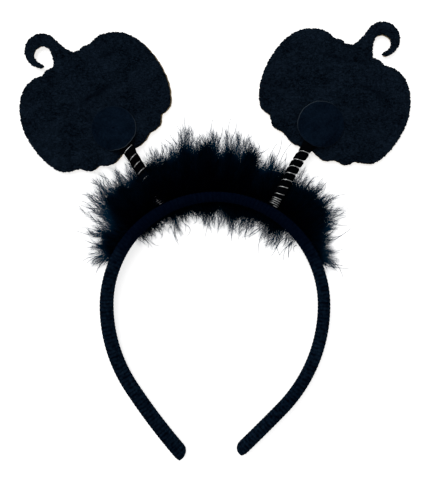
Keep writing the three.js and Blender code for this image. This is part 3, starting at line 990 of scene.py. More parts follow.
@dataclass(frozen=True)
class CoilSpring:
    """A steel coil wound round a cloth core, from the band to the pumpkin's back.

    The core is pinched under the wire as far as pinch_from, swells fully pinch_rise past that, and fills
    turns whose clear space is open_space. Pairs are ranges of the loose threads' sizes, with fray_places in
    shares of the spring's length.
    """

    layout: Layout
    band: RibbedBand
    line_points: int = 400
    radius: float = 2.75
    wire_radius: float = 0.33
    drawn_radius: float = 0.22
    wire_sides: int = 10
    steps_per_turn: int = 36
    flat_half_width: float = 3.5
    flat_half_height: float = 1.2
    flat_length: float = 7.0
    flattening: float = 7.0
    start_degrees: float = 90.0
    core_sides: int = 36
    core_step: float = 0.22
    core_bulge: float = 0.66
    core_gap: float = 0.04
    core_folds: tuple[Pair, ...] = ((2.3, 0.04), (0.9, 0.03))
    core_seed: int = 11
    pinch_from: float = 0.2
    pinch_rise: float = 0.5
    open_space: float = 3.0
    fray_count: int = 7
    fray_points: int = 8
    fray_places: Pair = (0.58, 0.8)
    fray_reach: Pair = (0.8, 2.6)
    fray_fall: Pair = (-3.2, 0.6)
    fray_rise: Pair = (-1.2, 1.2)
    fray_root: float = 0.3
    fray_taper: float = 0.85
    fray_radius: float = 0.09
    fray_sides: int = 4
    fray_seed: int = 31

    @property
    def stretches(self) -> tuple[CoilStretch, ...]:
        """The coil's stretches: a close foot, open turns, and a long turn by the pumpkin."""
        open_turns = CoilStretch(5, self.layout.coil_pitch)
        return CoilStretch(4, 1.15), CoilStretch(1, 2.7), open_turns, CoilStretch(1.3, 5.8), CoilStretch(0.2)

    def line(self) -> Array:
        """The spring's middle line, square to the band at its foot and level on the felt at its end.

        Returns:
            Points close together, three columns.
        """
        layout, band = self.layout, self.band
        sign = layout.side.sign
        out = heading(sign * layout.spring_angle)
        reach = band.crown_radius + float(band.half_thickness(sign * layout.spring_angle)) + GAP
        foot = np.array([band.crown_x, band.crown_y, 0]) + out * reach
        foot[2] = float(band.lift(foot[1])) + band.width / 2
        end = np.append(layout.from_pumpkin(np.array([layout.spring_end]))[0], 0)
        end[2] = FELT_TOP + GAP + self.flat_half_height + self.wire_radius
        third = np.linalg.norm(end - foot) / 3
        bends = foot, foot + out * third, end - heading(sign * layout.spring_end_heading) * third, end
        share = np.linspace(0, 1, self.line_points)[:, None]
        weights = (1 - share) ** 3, 3 * share * (1 - share) ** 2, 3 * share**2 * (1 - share), share**3
        return sum(weight * bend for weight, bend in zip(weights, bends))

    def frame_at(self, distance: Array) -> tuple[Array, ...]:
        """The coil's middle line, its directions across and up, and its half sizes at distances.

        Args:
            distance: Distances along the spring.

        Returns:
            Centres, directions across, directions up, half widths and half heights.
        """
        line = self.line()
        centre, way = along_line(line, distance)
        across = np.cross(UP, way)
        across /= np.linalg.norm(across, axis=1, keepdims=True)
        up = np.cross(way, across)
        flat_from = line_length(line) - self.flat_length
        flat = ease(distance, flat_from - self.flattening, flat_from)
        wide = self.radius + (self.flat_half_width - self.radius) * flat
        high = self.radius + (self.flat_half_height - self.radius) * flat
        return centre, across, up, wide, high

    def turn_table(self) -> tuple[Array, Array]:
        """Where the coil's pitch changes.

        Returns:
            Distances along the spring, and the turns wound by then.
        """
        length = line_length(self.line())
        fixed = sum(row.turns * row.pitch for row in self.stretches if row.pitch) + 2 * self.wire_radius
        turns, distances = [0.0], [self.wire_radius]
        for row in self.stretches:
            turns.append(turns[-1] + row.turns)
            distances.append(distances[-1] + (row.turns * row.pitch if row.pitch else length - fixed))
        return np.array(distances), np.array(turns)

    def wire(self) -> Surface:
        """The wire's middle line as edges, for the strand tree.

        Returns:
            A line of one "size".
        """
        distances, turns = self.turn_table()
        turn = np.linspace(0, turns[-1], round(turns[-1] * self.steps_per_turn))
        centre, across, up, wide, high = self.frame_at(np.interp(turn, turns, distances))
        angle = math.tau * turn + math.radians(self.start_degrees)
        points = centre + (wide * np.cos(angle))[:, None] * across + (high * np.sin(angle))[:, None] * up
        return Surface.strand(points, size=np.ones(len(points)))

    def core(self) -> Surface:
        """The cloth core, which swells between the turns of the wire and is pinched under them.

        Returns:
            The core's skin.
        """
        length = line_length(self.line())
        distance = np.linspace(0, length, round(length / self.core_step))
        centre, across, up, wide, high = self.frame_at(distance)
        distances, turns = self.turn_table()
        turn = np.interp(distance, distances, turns)
        pitch = 1 / np.maximum(np.gradient(turn, distance), 1e-3)
        angle = ring_angles(self.core_sides)
        lag = turn[:, None] + math.radians(self.start_degrees) / math.tau - angle / math.tau
        from_wire = np.abs(np.sin(math.pi * lag))
        swell = np.sqrt(np.clip((from_wire - self.pinch_from) / self.pinch_rise, 0, 1))
        full = self.layout.core_fullness * np.cos(angle) ** 2
        swell = full + (1 - full) * swell
        open_share = np.clip((pitch - 2 * self.wire_radius) / self.open_space, 0, 1)[:, None]
        folds = ripple(distance, self.core_folds, self.core_seed)[:, None]
        bulge = (self.wire_radius + self.core_bulge) * swell * open_share
        depth = -self.wire_radius - self.core_gap + bulge + folds
        rings = oval_rings(centre, across, up, wide[:, None] + depth, high[:, None] + depth, self.core_sides)
        return loft(rings)

    def frays(self) -> Surface:
        """Loose threads of the core's cloth on the spring's outer side, as edges for the strand tree.

        Returns:
            Lines that taper to their ends.
        """
        draws = np.random.default_rng(self.fray_seed)
        length = line_length(self.line())
        share = np.linspace(0, 1, self.fray_points)[:, None]
        parts = []
        for _ in range(self.fray_count):
            start = np.array([length * draws.uniform(*self.fray_places)])
            centre, across, up, wide, _ = self.frame_at(start)
            out = -across[0] * self.layout.side.sign
            way = along_line(self.line(), start)[1][0]
            reach, fall = draws.uniform(*self.fray_reach), draws.uniform(*self.fray_fall)
            root = centre[0] + out * (wide[0] - self.fray_root)
            path = root + out * reach * share + way * fall * share**2
            path = path + up[0] * draws.uniform(*self.fray_rise) * share
            parts.append(Surface.strand(path, size=1 - self.fray_taper * share[:, 0]))
        return Surface.joined(parts)

    def build(self) -> None:
        """Builds the wire, the core and, where the photograph shows them, the core's loose threads."""
        name = self.layout.side.value
        steel = STEEL.material()
        values = {"Radius": self.drawn_radius, "Sides": float(self.wire_sides)}
        coil = strand_tree().grown(f"{name}_coil", self.wire(), steel, values)
        place_piece(f"{name}_coil", coil, steel, f"{name}_spring_wire")
        cloth = CORE_CLOTH.material()
        place_piece(f"{name}_core", self.core(), cloth, f"{name}_spring_core")
        if self.layout.side is Side.RIGHT:
            values = {"Radius": self.fray_radius, "Sides": float(self.fray_sides)}
            threads = strand_tree().grown(f"{name}_core_threads", self.frays(), cloth, values)
            place_piece(f"{name}_core_threads", threads, cloth)


@dataclass(frozen=True)
class Arc:
    """Part of a circle, with its angles in degrees."""

    x: float
    y: float
    radius: float
    start: float
    stop: float

    def points(self, count: int) -> list[Pair]:
        """Points along the arc."""
        turn = np.radians(np.linspace(self.start, self.stop, count))
        return list(zip(self.x + self.radius * np.cos(turn), self.y + self.radius * np.sin(turn)))

    def moved(self, shift: Pair) -> "Arc":
        """The same arc in another place."""
        return replace(self, x=self.x + shift[0], y=self.y + shift[1])


@dataclass(frozen=True)
class Crease:
    """A faint dent across the felt, darkened with painted shade, between two places in the pumpkin's own
    frame.
    """

    start: Pair
    end: Pair
    half_width: float = 1.3


CREASES = {
    Side.LEFT: (Crease((17, 3.8), (-21, 4.6)), Crease((-16.5, 20.9), (-24, 19.7))),
    Side.RIGHT: (Crease((-20, 19.7), (0, 22.5)), Crease((9, 13), (29.5, 12.8))),
}


def curve_through(points: Sequence[Pair], steps: int = 12) -> list[Pair]:
    """A smooth curve through points.

    Args:
        points: The points.
        steps: Steps from each point to the next.

    Returns:
        The curve without its first point.
    """
    line = np.array([points[0], *points, points[-1]], float)
    share = np.arange(1, steps + 1)[:, None] / steps
    found = []
    for before, a, b, after in zip(line, line[1:], line[2:], line[3:]):
        first, last = (b - before) / 2, (after - a) / 2
        cubic = (2 * a - 2 * b + first + last) * share**3 + (3 * b - 3 * a - 2 * first - last) * share**2
        found.extend(map(tuple, cubic + first * share + a))
    return found


def bent_curve(start: Pair, bend: Pair, end: Pair, steps: int = 10) -> list[Pair]:
    """A curve between two points that leans towards a third.

    Args:
        start: Where it starts.
        bend: What it leans towards.
        end: Where it ends.
        steps: Steps from start to end.

    Returns:
        The curve without its start.
    """
    share = np.arange(1, steps + 1)[:, None] / steps
    a, b, c = (np.array(point) for point in (start, bend, end))
    return list(map(tuple, (1 - share) ** 2 * a + 2 * share * (1 - share) * b + share**2 * c))


def edge_normals(line: Array) -> Array:
    """Directions out of a closed line.

    Args:
        line: The line's points, clockwise.

    Returns:
        A unit direction for each point.
    """
    way = np.roll(line, -1, axis=0) - np.roll(line, 1, axis=0)
    out = np.column_stack([-way[:, 1], way[:, 0]])
    return out / np.linalg.norm(out, axis=1, keepdims=True)


def straightness(line: Array, corner: float, even: float, reach: int = 3) -> Array:
    """How straight a closed line runs at each point.

    Args:
        line: The line's points.
        corner: The cosine of a sharp corner's turn.
        even: The cosine of an even curve's turn.
        reach: Points on each side that the turn is measured over.

    Returns:
        Shares from 0 at a sharp corner to 1 on an even curve.
    """
    before, after = line - np.roll(line, reach, axis=0), np.roll(line, -reach, axis=0) - line
    lengths = np.linalg.norm(before, axis=1) * np.linalg.norm(after, axis=1)
    return ease(np.sum(before * after, axis=1) / lengths, corner, even)


@dataclass(frozen=True)
class FeltPumpkin:
    """A pumpkin silhouette: black felt with a nap over a tan front layer, and a patch on its back.

    Each of the lobes is the points that it passes, and last the notch that it ends in. A row of edge_rows is
    how far inside a layer's edge a row of points lies, and the least distance from the edge that is kept. A
    row of patch_rim_rings is a ring's distance inside the patch's rim and its share of the thickness.
    """

    layout: Layout
    spring: CoilSpring
    front_thickness: float = 2.0
    front_inset: float = 0.65
    felt_thickness: float = 1.5
    edge_step: float = 0.4
    spread: float = 0.3
    edge_bumps: tuple[Pair, ...] = ((7.1, 0.07), (4.4, 0.09), (2.7, 0.1), (1.8, 0.1), (1.3, 0.07))
    waves: tuple[Pair, ...] = ((38, 0.1), (23, 0.1), (13, 0.06), (7, 0.04))
    corner_turn: Pair = (0.4, 0.95)
    stem_from: Pair = (26.0, 34.0)
    inset_least: float = 0.92
    foot_tuck: float = 0.1
    grid: float = 1.25
    grid_loose: float = 0.3
    grid_clear: float = 0.8
    edge_rows: tuple[Pair, ...] = ((0.16, 0.12), (0.55, 0.45))
    rounding: float = 0.45
    crease_depth: float = 0.4
    crease_shade: float = 0.7
    crease_ends: Pair = (0.08, 0.92)
    back_nap: float = 0.35
    nap_density: float = 1.6
    nap_length: float = 0.75
    nap_tilt: Pair = (0.5, 1.5)
    patch_thickness: float = 1.0
    patch_lift: float = 3.5
    patch_rings: int = 34
    patch_sides: int = 120
    patch_hole: float = 0.02
    patch_middle: float = 0.25
    patch_shoulder: float = 0.4
    patch_rim_rings: tuple[Pair, ...] = ((0.0, 0.3), (0.0, 0.62), (0.14, 0.88))
    patch_bumps: tuple[Pair, ...] = ((9.01, 0.08), (4.3, 0.06))
    patch_waves: tuple[Pair, ...] = ((11, 0.07), (6, 0.04))
    rim_inset: Pair = (0.42, 0.1)
    rim_foot: float = 0.2
    least_highlight: float = 0.1
    highlight_facing: Pair = (0.1, 0.95)
    ridge_half_width: float = 5.2
    skirt_half_width: float = 10.0
    ramp: Pair = (-5.0, 4.5)
    layer_seed: int = 40
    bump_seed: int = 17
    wave_seed: int = 23
    outer_foot: Pair = (10.7, 29.9)
    lobes: tuple[tuple[Pair, ...], ...] = (
        ((14.6, 30.2), (18.8, 28.7)),
        (
            (24.6, 29.5), (32.3, 26.8), (39.2, 19), (43.5, 7), (43.5, -6), (40.7, -17.4), (35.8, -25),
            (26.4, -28.2),
        ),
        ((22, -32.4), (16, -32.2)),
        ((9.4, -35.2), (1.4, -32.9)),
        ((-10.5, -33.6), (-18, -30.3)),
        ((-25, -29.5), (-29.1, -24.5)),
        (
            (-36.2, -22.3), (-41.2, -13), (-43, -2), (-42.3, 9), (-39.2, 19.6), (-32.7, 28), (-22.3, 32.4),
            (-13.9, 30.9),
        ),
        ((-10.4, 31.7), (-7.2, 30.8)),
    )
    inner_foot: Pair = (-3.5, 31.7)
    inner_foot_bend: Pair = (-0.2, 34.5)
    stem_outer: Arc = Arc(10.9, 41.6, 9.8, 162, -55)
    stem_tip: Pair = (14.3, 33.3)
    stem_inner: Arc = Arc(11.75, 39.45, 5.15, -40, 200)
    outer_foot_bend: Pair = (7.9, 33.0)
    stem_outer_points: int = 60
    stem_inner_points: int = 50

    @property
    def seed(self) -> int:
        """What makes the felt's edge and back uneven."""
        return self.layer_seed + self.layout.side.sign

    def outline(self) -> Array:
        """The silhouette in the pumpkin's own frame, clockwise, at even steps.

        Returns:
            Points, two columns, with no point repeated at the end.
        """
        path: list[Pair] = [self.outer_foot]
        for lobe in self.lobes:
            path += curve_through([path[-1], *lobe])
        path.append(self.inner_foot)
        shift = self.layout.stem_shift
        outer = self.stem_outer.moved(shift).points(self.stem_outer_points)
        tip = (self.stem_tip[0] + shift[0], self.stem_tip[1] + shift[1])
        path += bent_curve(self.inner_foot, self.inner_foot_bend, outer[0]) + outer[1:] + [tip]
        inner = self.stem_inner.moved(shift).points(self.stem_inner_points)
        path += inner + bent_curve(inner[-1], self.outer_foot_bend, self.outer_foot)
        line = np.array(path)
        length = line_length(line)
        return along_line(line, np.linspace(0, length, round(length / self.edge_step), endpoint=False))[0]

    def cut_line(self, shift: Pair, inset: float) -> Array:
        """The bumpy edge that a layer is cut along, in the pumpkin's own frame.

        Args:
            shift: How far the layer lies from the pumpkin's own place.
            inset: How far it is cut inside the pumpkin's outline.

        Returns:
            Points, two columns, clockwise.
        """
        line = self.outline()
        normal = edge_normals(line)
        run = np.arange(len(line)) * self.edge_step
        bumps = ripple(run, self.edge_bumps, self.seed) * straightness(line, *self.corner_turn)
        edge = line + normal * (bumps + self.spread)[:, None]
        line = edge - normal * inset
        line = line[distance_to(edge, line) >= self.inset_least * inset]
        line = line + np.array(shift) * (1 - self.layout.stem_hold * ease(line[:, 1:], *self.stem_from))
        if inset:
            line = (np.roll(line, 1, axis=0) + 2 * line + np.roll(line, -1, axis=0)) / 4
        return line

    def layer(self, base: float, thickness: float, shift: Pair, inset: float) -> Surface:
        """One cut layer of felt with a bumpy, rounded edge.

        Args:
            base: Height of its lower face.
            thickness: Its thickness.
            shift: How far it lies from the pumpkin's own place.
            inset: How far it is cut inside the pumpkin's outline.

        Returns:
            The layer, with more "nap" on its edge and painted shade in its creases as "rim".
        """
        line = self.cut_line(shift, inset)
        normal = edge_normals(line)
        count, top = len(line), base + thickness
        spots, away = self._spots(line, normal)
        flat = [Vector(point) for point in np.concatenate([line, spots])]
        edges = [(i, (i + 1) % count) for i in range(count)]
        found = delaunay_2d_cdt(flat, edges, [], 1, 1e-6)
        triangles = [[found[3][i][0] for i in face] for face in found[2]]
        used = sorted({i for face in triangles for i in face if i >= count})
        index = {spot: i for i, spot in enumerate(used)}
        inside = spots[np.array(used) - count]
        gap = np.clip(away[np.array(used) - count] / self.rounding, 0, 1)
        round_off = self.rounding * (1 - np.sqrt(1 - (1 - gap) ** 2))
        creases = self._creases(inside)
        back = ripple(inside, self.waves, self.seed + 1) - self.crease_depth * creases
        brim = np.column_stack([line, np.full(count, top - self.rounding)])
        foot = np.column_stack([line - normal * self.foot_tuck, np.full(count, base)])
        upper = np.column_stack([inside, top - round_off + back * gap])
        lower = np.column_stack([inside, np.full(len(inside), base)])
        points = np.concatenate([brim, upper, foot, lower])
        half = count + len(inside)
        faces = [tuple(i if i < count else count + index[i] for i in face) for face in triangles]
        faces += [tuple(half + i for i in face[::-1]) for face in faces]
        faces += [(i, (i + 1) % count, half + (i + 1) % count, half + i) for i in range(count)]
        nap = np.concatenate([np.ones(count), np.full(len(inside), self.back_nap), np.zeros(half)])
        # Painted shade in the creases, kept as "rim".
        rim = np.concatenate([np.zeros(count), self.crease_shade * creases, np.zeros(half)])
        placed = np.column_stack([self.layout.from_pumpkin(points[:, :2]), points[:, 2]])
        if self.layout.side is Side.LEFT:
            faces = [face[::-1] for face in faces]
        return Surface(placed, faces, values={"nap": nap, "rim": rim})

    def _spots(self, line: Array, normal: Array) -> tuple[Array, Array]:
        """Places on a layer's face: rows just inside its edge, and a loose grid.

        Args:
            line: The layer's edge.
            normal: Directions out of it.

        Returns:
            The places, and how far each is from the edge.
        """
        low, high = line.min(axis=0), line.max(axis=0)
        across, along = np.meshgrid(*(np.arange(a, b, self.grid) for a, b in zip(low, high)))
        grid = np.column_stack([across.ravel(), along.ravel()])
        draws = np.random.default_rng(self.seed)
        grid += draws.uniform(-self.grid_loose, self.grid_loose, grid.shape) * self.grid
        rows = [(line - normal * inside, least) for inside, least in self.edge_rows]
        kept, gaps = [], []
        for spots, least in [*rows, (grid, self.grid_clear * self.grid)]:
            away = distance_to(line, spots)
            kept.append(spots[away > least])
            gaps.append(away[away > least])
        return np.concatenate(kept), np.concatenate(gaps)

    def _creases(self, places: Array) -> Array:
        """How far places lie in the felt's creases.

        Args:
            places: Places in the pumpkin's own frame.

        Returns:
            Shares, 1 in the middle of a crease.
        """
        total = np.zeros(len(places))
        for crease in CREASES[self.layout.side]:
            start, end = np.array(crease.start), np.array(crease.end)
            way = end - start
            share = np.clip((places - start) @ way / (way @ way), 0, 1)
            away = np.linalg.norm(places - start - share[:, None] * way, axis=1)
            fade = np.sin(math.pi * np.clip(share, *self.crease_ends))
            total += fade * np.exp(-((away / crease.half_width) ** 2))
        return total

    def flat_patch(self) -> tuple[Surface, Array]:
        """The patch before it is laid: a closed disc round the origin, with a rounded, uneven rim.

        Returns:
            The disc, and each point's distance from its middle before the rim was made uneven.
        """
        thick, radius = self.patch_thickness, self.layout.patch_radius
        shares = np.linspace(self.patch_hole, 1, self.patch_rings)
        profile = [(radius * (share - self.patch_hole), 0.0) for share in shares]
        profile += [(radius - inset, share * thick) for inset, share in self.patch_rim_rings]
        profile += [(radius * share - self.patch_shoulder, thick) for share in shares[::-1][:-1]]
        profile.append((self.patch_middle, thick))
        turn = math.tau * np.arange(self.patch_sides) / self.patch_sides
        rings = np.array([
            np.column_stack([r * np.cos(turn), r * np.sin(turn), np.full(len(turn), z)]) for r, z in profile
        ])
        scale = 1 + ripple(turn * radius, self.patch_bumps, self.bump_seed + self.layout.side.sign) / radius
        rings[..., :2] *= scale[None, :, None]
        disc = loft(rings)
        return disc, np.hypot(disc.points[:, 0], disc.points[:, 1]) / np.tile(scale, len(rings))

    def patch(self) -> Surface:
        """The round patch, which rises over the spring's end like a tent.

        Returns:
            The patch in place, with its pale cut edge as "rim".
        """
        layout, radius = self.layout, self.layout.patch_radius
        line = self.spring.line()
        way = line[-1] - line[-2]
        way = way[:2] / np.linalg.norm(way[:2])
        side = np.array([way[1], -way[0]])
        centre = layout.from_pumpkin(np.array([layout.patch_place]))[0]
        ridge = (line[-1, :2] - centre) @ side
        disc, out = self.flat_patch()
        x, y, z = disc.points.T
        roof = 1 - ease(np.abs(x - ridge), self.ridge_half_width, self.skirt_half_width)
        slope = 1 - ease(y, *self.ramp)
        waves = ripple(np.column_stack([x, y]), self.patch_waves, self.wave_seed)
        height = z + self.patch_lift * roof * slope + waves + FELT_TOP + GAP
        plan = centre + x[:, None] * side + y[:, None] * way
        # Painted highlight on the cut edge: brightest towards the layout's heading, faint elsewhere.
        facing = (plan - centre) @ heading(layout.patch_highlight)[:2] / radius
        rim_from, rim_to = (radius - inset for inset in self.rim_inset)
        on_rim = ease(out, rim_from, rim_to) * (z > self.rim_foot * self.patch_thickness)
        painted_highlight = self.least_highlight + (1 - self.least_highlight) * ease(facing, *self.highlight_facing)
        return Surface(np.column_stack([plan, height]), disc.faces, values={"rim": on_rim * painted_highlight})

    def build(self) -> None:
        """Builds the felt with its nap, the front layer and the patch."""
        name = self.layout.side.value
        felt, tan, cloth = FELT.material(), TAN_FELT.material(), PATCH_CLOTH.material()
        back = self.layer(FELT_TOP - self.felt_thickness, self.felt_thickness, (0, 0), 0.0)
        front = self.layer(0.0, self.front_thickness, self.layout.front_shift, self.front_inset)
        felt_piece = place_piece(f"{name}_felt", back, felt, f"{name}_pumpkin_felt")
        front_piece = place_piece(f"{name}_front", front, tan, f"{name}_pumpkin_front")
        values = {
            "Fibre": NAP_FIBRE, "Density": self.nap_density, "Length": self.nap_length,
            "Lowest tilt": self.nap_tilt[0], "Highest tilt": self.nap_tilt[1],
        }
        hairs = nap_tree().grown(f"{name}_nap", back, felt, values, self.seed)
        nap_piece = place_piece(f"{name}_nap", hairs, felt)
        patch_piece = place_piece(f"{name}_patch_cloth", self.patch(), cloth, f"{name}_patch")
        line = self.outline()


@dataclass(frozen=True)
class Tuft:
    """A clump of feathers on the cord: its foot and lean in degrees, its length, and how high it arches."""

    foot: float
    length: float
    lean: float
    feathers: int = 9
    arch: float = 2.2
    tip: float = 2.8


OUTER_TUFTS = tuple(Tuft(*row) for row in (
    (-60, 17, -52), (-59, 17.5, -28), (-56, 23, -14), (-50.5, 33.5, -3), (-48, 34, -2),
    (-45, 39, -2, 12), (-41, 38, -1, 12), (-37, 34, -3), (-33, 35, -1, 12), (-26, 35, 12), (-23, 36, 13),
    (-20, 36, 12), (-17, 44, 16), (-15, 42, 11, 14), (-11, 36, 12, 7), (-7.5, 36, 10), (-4.5, 37, 8, 14),
    (-3, 34, 4), (4, 36, 2, 13), (6.5, 37, 0), (12, 34, -1), (15, 36, -3, 12), (19, 22, 1),
    (22.5, 29.5, -1.5), (25, 31, -1, 12), (33, 30, 0), (36, 29, 2), (40, 32, 3, 12), (44, 32, 5, 12),
    (48, 30, 6), (51, 26, 8), (54, 20, 8), (57, 16, 14), (60, 12, 27), (63, 14, 44),
))
INNER_TUFTS = tuple(Tuft(*row) for row in (
    (-46, 8, 8, 6), (-41, 9, 0, 7), (-36, 9, -6, 7), (-31, 9, -6, 7), (-25, 19, 5, 10), (-19, 13, -1, 8),
    (-12, 12, 0, 7), (-6.5, 16, 0, 9), (-2.5, 17, 0, 9), (2, 17, 0, 7), (6, 20, -3, 11), (12, 21, -3, 12),
    (17.5, 20, -3, 11), (24, 19, -5, 9), (31, 15, -8, 7), (36, 19, -10, 14), (40, 16, -18, 9),
    (45, 11, -21, 5), (49, 8, -17, 4),
))
OVER_TUFTS = tuple(Tuft(*row) for row in (
    (-35, 22, 15, 9, 8, 11), (-33, 24, 14, 9, 9, 12), (-25, 22, -13, 9, 9, 12), (-23, 24, -15, 9, 8, 11),
))


@dataclass(frozen=True)
class DownReach:
    """How far the dense down reaches past the band's middle line at an angle, outwards and inwards."""

    angle: float
    outer: float
    inner: float


DOWN = tuple(DownReach(*row) for row in (
    (-66, 4, 0), (-63, 11, 0), (-60, 12.5, 0), (-57, 15, 0), (-54, 11, 1), (-51, 12, 2), (-48, 20, 3),
    (-45.5, 27.5, 4.5), (-42, 24.5, 5.5), (-39, 27.5, 6), (-36, 22.5, 6), (-33, 25, 4.5), (-27, 29, 6),
    (-21, 27, 8), (-16, 25.5, 6.5), (-14, 27.5, 7), (-12, 31.5, 8), (-8, 26, 8.5), (-4.5, 30.5, 10.5),
    (-2.5, 32, 10), (0, 27, 9), (1.2, 23.5, 7.5), (3, 23.5, 6), (4.5, 27.5, 7.5), (6, 28, 9),
    (8.5, 23.5, 11), (10, 23, 11.5), (12, 29.5, 12), (15.5, 29, 10.5), (17, 21, 9.5), (20, 19, 9),
    (22, 22.5, 8.5), (25, 22.5, 8), (27, 25, 8), (33, 21, 8), (38, 23.5, 10.5), (42, 25, 3.5),
    (45, 22.8, 2), (48, 24, 1), (53, 18.5, 0), (55.5, 13.5, 0), (58, 12, 0), (63, 7.5, 0), (68, 5, 0),
))


@dataclass(frozen=True)
class Wisp:
    """A single long barb that strays from the trim, from one place to another, bowed to its left."""

    start: Pair
    end: Pair
    bow: float = 1.0


WISPS = tuple(Wisp(*row) for row in (
    ((33, 43.6), (38.8, 60.3), -1.5), ((36.5, 40.8), (43.9, 55.7), 1.2), ((31, 44), (36, 56), 1),
    ((63.5, -9), (74.4, -22.4), 2.5), ((-66.9, 18.9), (-77.1, 20.7), 0.8),
    ((-66.9, 5.2), (-77.1, 7.5), -0.9), ((-15.8, 60.9), (-16.9, 73.5), 0.8),
    ((-2, 59.1), (-0.8, 70.1), 0.6), ((2, 55.1), (4.9, 69.5), -0.9), ((7.8, 58), (9.5, 70.6), 0.9),
    ((10.1, 59.1), (12.9, 68.3), -0.5), ((64, 22), (76, 27), 1.2), ((66, 12), (77, 9), -1.3),
    ((37.6, 1), (33.9, -5.2), 0.6),
))


class Sector(Enum):
    """A stretch of the trim that is one piece: its name, and the angles between which its feathers stand."""

    LEFT_END = ("left_end", -90, -30)
    LEFT = ("left", -30, -6)
    RIGHT = ("right", -6, 24)
    RIGHT_END = ("right_end", 24, 90)


@dataclass(frozen=True)
class FeatherRoom:
    """The room that feathers have between the floor, the pumpkins' felt, the band and the springs.

    A limit eases off by band_slope or slope for each millimetre to the side of what sets it. Feathers near a
    limit bunch up towards it and stop least_room short.
    """

    band: RibbedBand
    springs: tuple[CoilSpring, ...]
    pumpkins: tuple[FeltPumpkin, ...]
    lowest: float = 0.12
    highest: float = 15.4
    least_room: float = 0.12
    least_height: float = 0.05
    band_clear: float = 0.9
    band_slope: float = 2.2
    slope: float = 2.5
    spring_margin: float = 12.0
    spring_lowest: float = 0.6
    spring_stride: int = 8
    felt_margin: float = 2.0
    felt_clear: float = 0.25
    felt_stride: int = 3
    no_limit: float = 60.0

    def settle(self, mesh: Mesh) -> Array:
        """Presses down what would stand in band or spring, and lifts what would sink into floor or felt.

        Args:
            mesh: The feathers, changed in place.

        Returns:
            The feathers' points in millimetres.
        """
        flat = np.empty(len(mesh.vertices) * 3, np.float32)
        mesh.vertices.foreach_get("co", flat)
        points = flat.reshape(-1, 3).astype(float) / MM
        floor = np.full(len(points), self.lowest)
        for pumpkin in self.pumpkins:
            floor = np.maximum(floor, self._felt_floor(points, pumpkin))
        ceiling = np.minimum(self._band_ceiling(points), self.highest)
        for spring in self.springs:
            under, over = self._spring_limits(points, spring)
            ceiling = np.minimum(ceiling, under)
            floor = np.maximum(floor, over)
        height = floor + self._eased(points[:, 2] - floor)
        height = ceiling - self._eased(ceiling - height)
        points[:, 2] = np.maximum(height, floor + self.least_height)
        mesh.vertices.foreach_set("co", (points * MM).astype(np.float32).ravel())
        mesh.update()
        return points

    def _eased(self, room: Array) -> Array:
        """Distances from a limit, eased so that none is less than the least room."""
        near = self.least_room + (1 - self.least_room) * np.exp(np.minimum(room, 1) - 1)
        return np.where(room < 1, near, room)

    def _band_ceiling(self, points: Array) -> Array:
        """How high feathers may stand under and beside the band.

        Args:
            points: The feathers' points.

        Returns:
            The highest height for each point.
        """
        angle, reach = self.band.round_crown(points)
        off = np.abs(reach) - self.band.half_thickness(angle) - self.band_clear
        return self.band.lift(points[:, 1]) - GAP + self.band_slope * np.maximum(off, 0)

    def _spring_limits(self, points: Array, spring: CoilSpring) -> tuple[Array, Array]:
        """How high feathers may stand under and beside a spring, and how low where they lie over it.

        Args:
            points: The feathers' points.
            spring: The spring.

        Returns:
            The highest and the lowest height for each point.
        """
        line = spring.line()[::self.spring_stride]
        ceiling, floor = np.full(len(points), self.no_limit), np.zeros(len(points))
        near = near_line(points, line, self.spring_margin)
        gaps = np.linalg.norm(points[near, None, :2] - line[None, :, :2], axis=2)
        best = gaps.argmin(axis=1)
        off = np.maximum(gaps[np.arange(len(near)), best] - spring.flat_half_width - spring.wire_radius, 0)
        centre, half = line[best, 2], spring.radius + spring.wire_radius + GAP
        over = points[near, 2] > centre
        under = np.maximum(centre - half, self.spring_lowest) + self.slope * off
        ceiling[near] = np.where(over, self.no_limit, under)
        floor[near] = np.where(over, centre + half - self.slope * off, 0.0)
        return ceiling, floor

    def _felt_floor(self, points: Array, pumpkin: FeltPumpkin) -> Array:
        """How low feathers may lie where they reach a pumpkin.

        Args:
            points: The feathers' points.
            pumpkin: The pumpkin.

        Returns:
            The lowest height for each point.
        """
        edge = pumpkin.layout.from_pumpkin(pumpkin.outline()[::self.felt_stride])
        floor = np.zeros(len(points))
        near = near_line(points, edge, self.felt_margin)
        x, y = points[near, 0], points[near, 1]
        inside = np.zeros(len(near), bool)
        for (ax, ay), (bx, by) in zip(edge, np.roll(edge, -1, axis=0)):
            spans = (ay > y) != (by > y)
            inside ^= spans & (x < (bx - ax) * (y - ay) / (by - ay + 1e-12) + ax)
        top = FELT_TOP + self.felt_clear
        beside = np.maximum(top - self.slope * distance_to(edge, points[near, :2]), 0)
        floor[near] = np.where(inside, top, beside)
        return floor


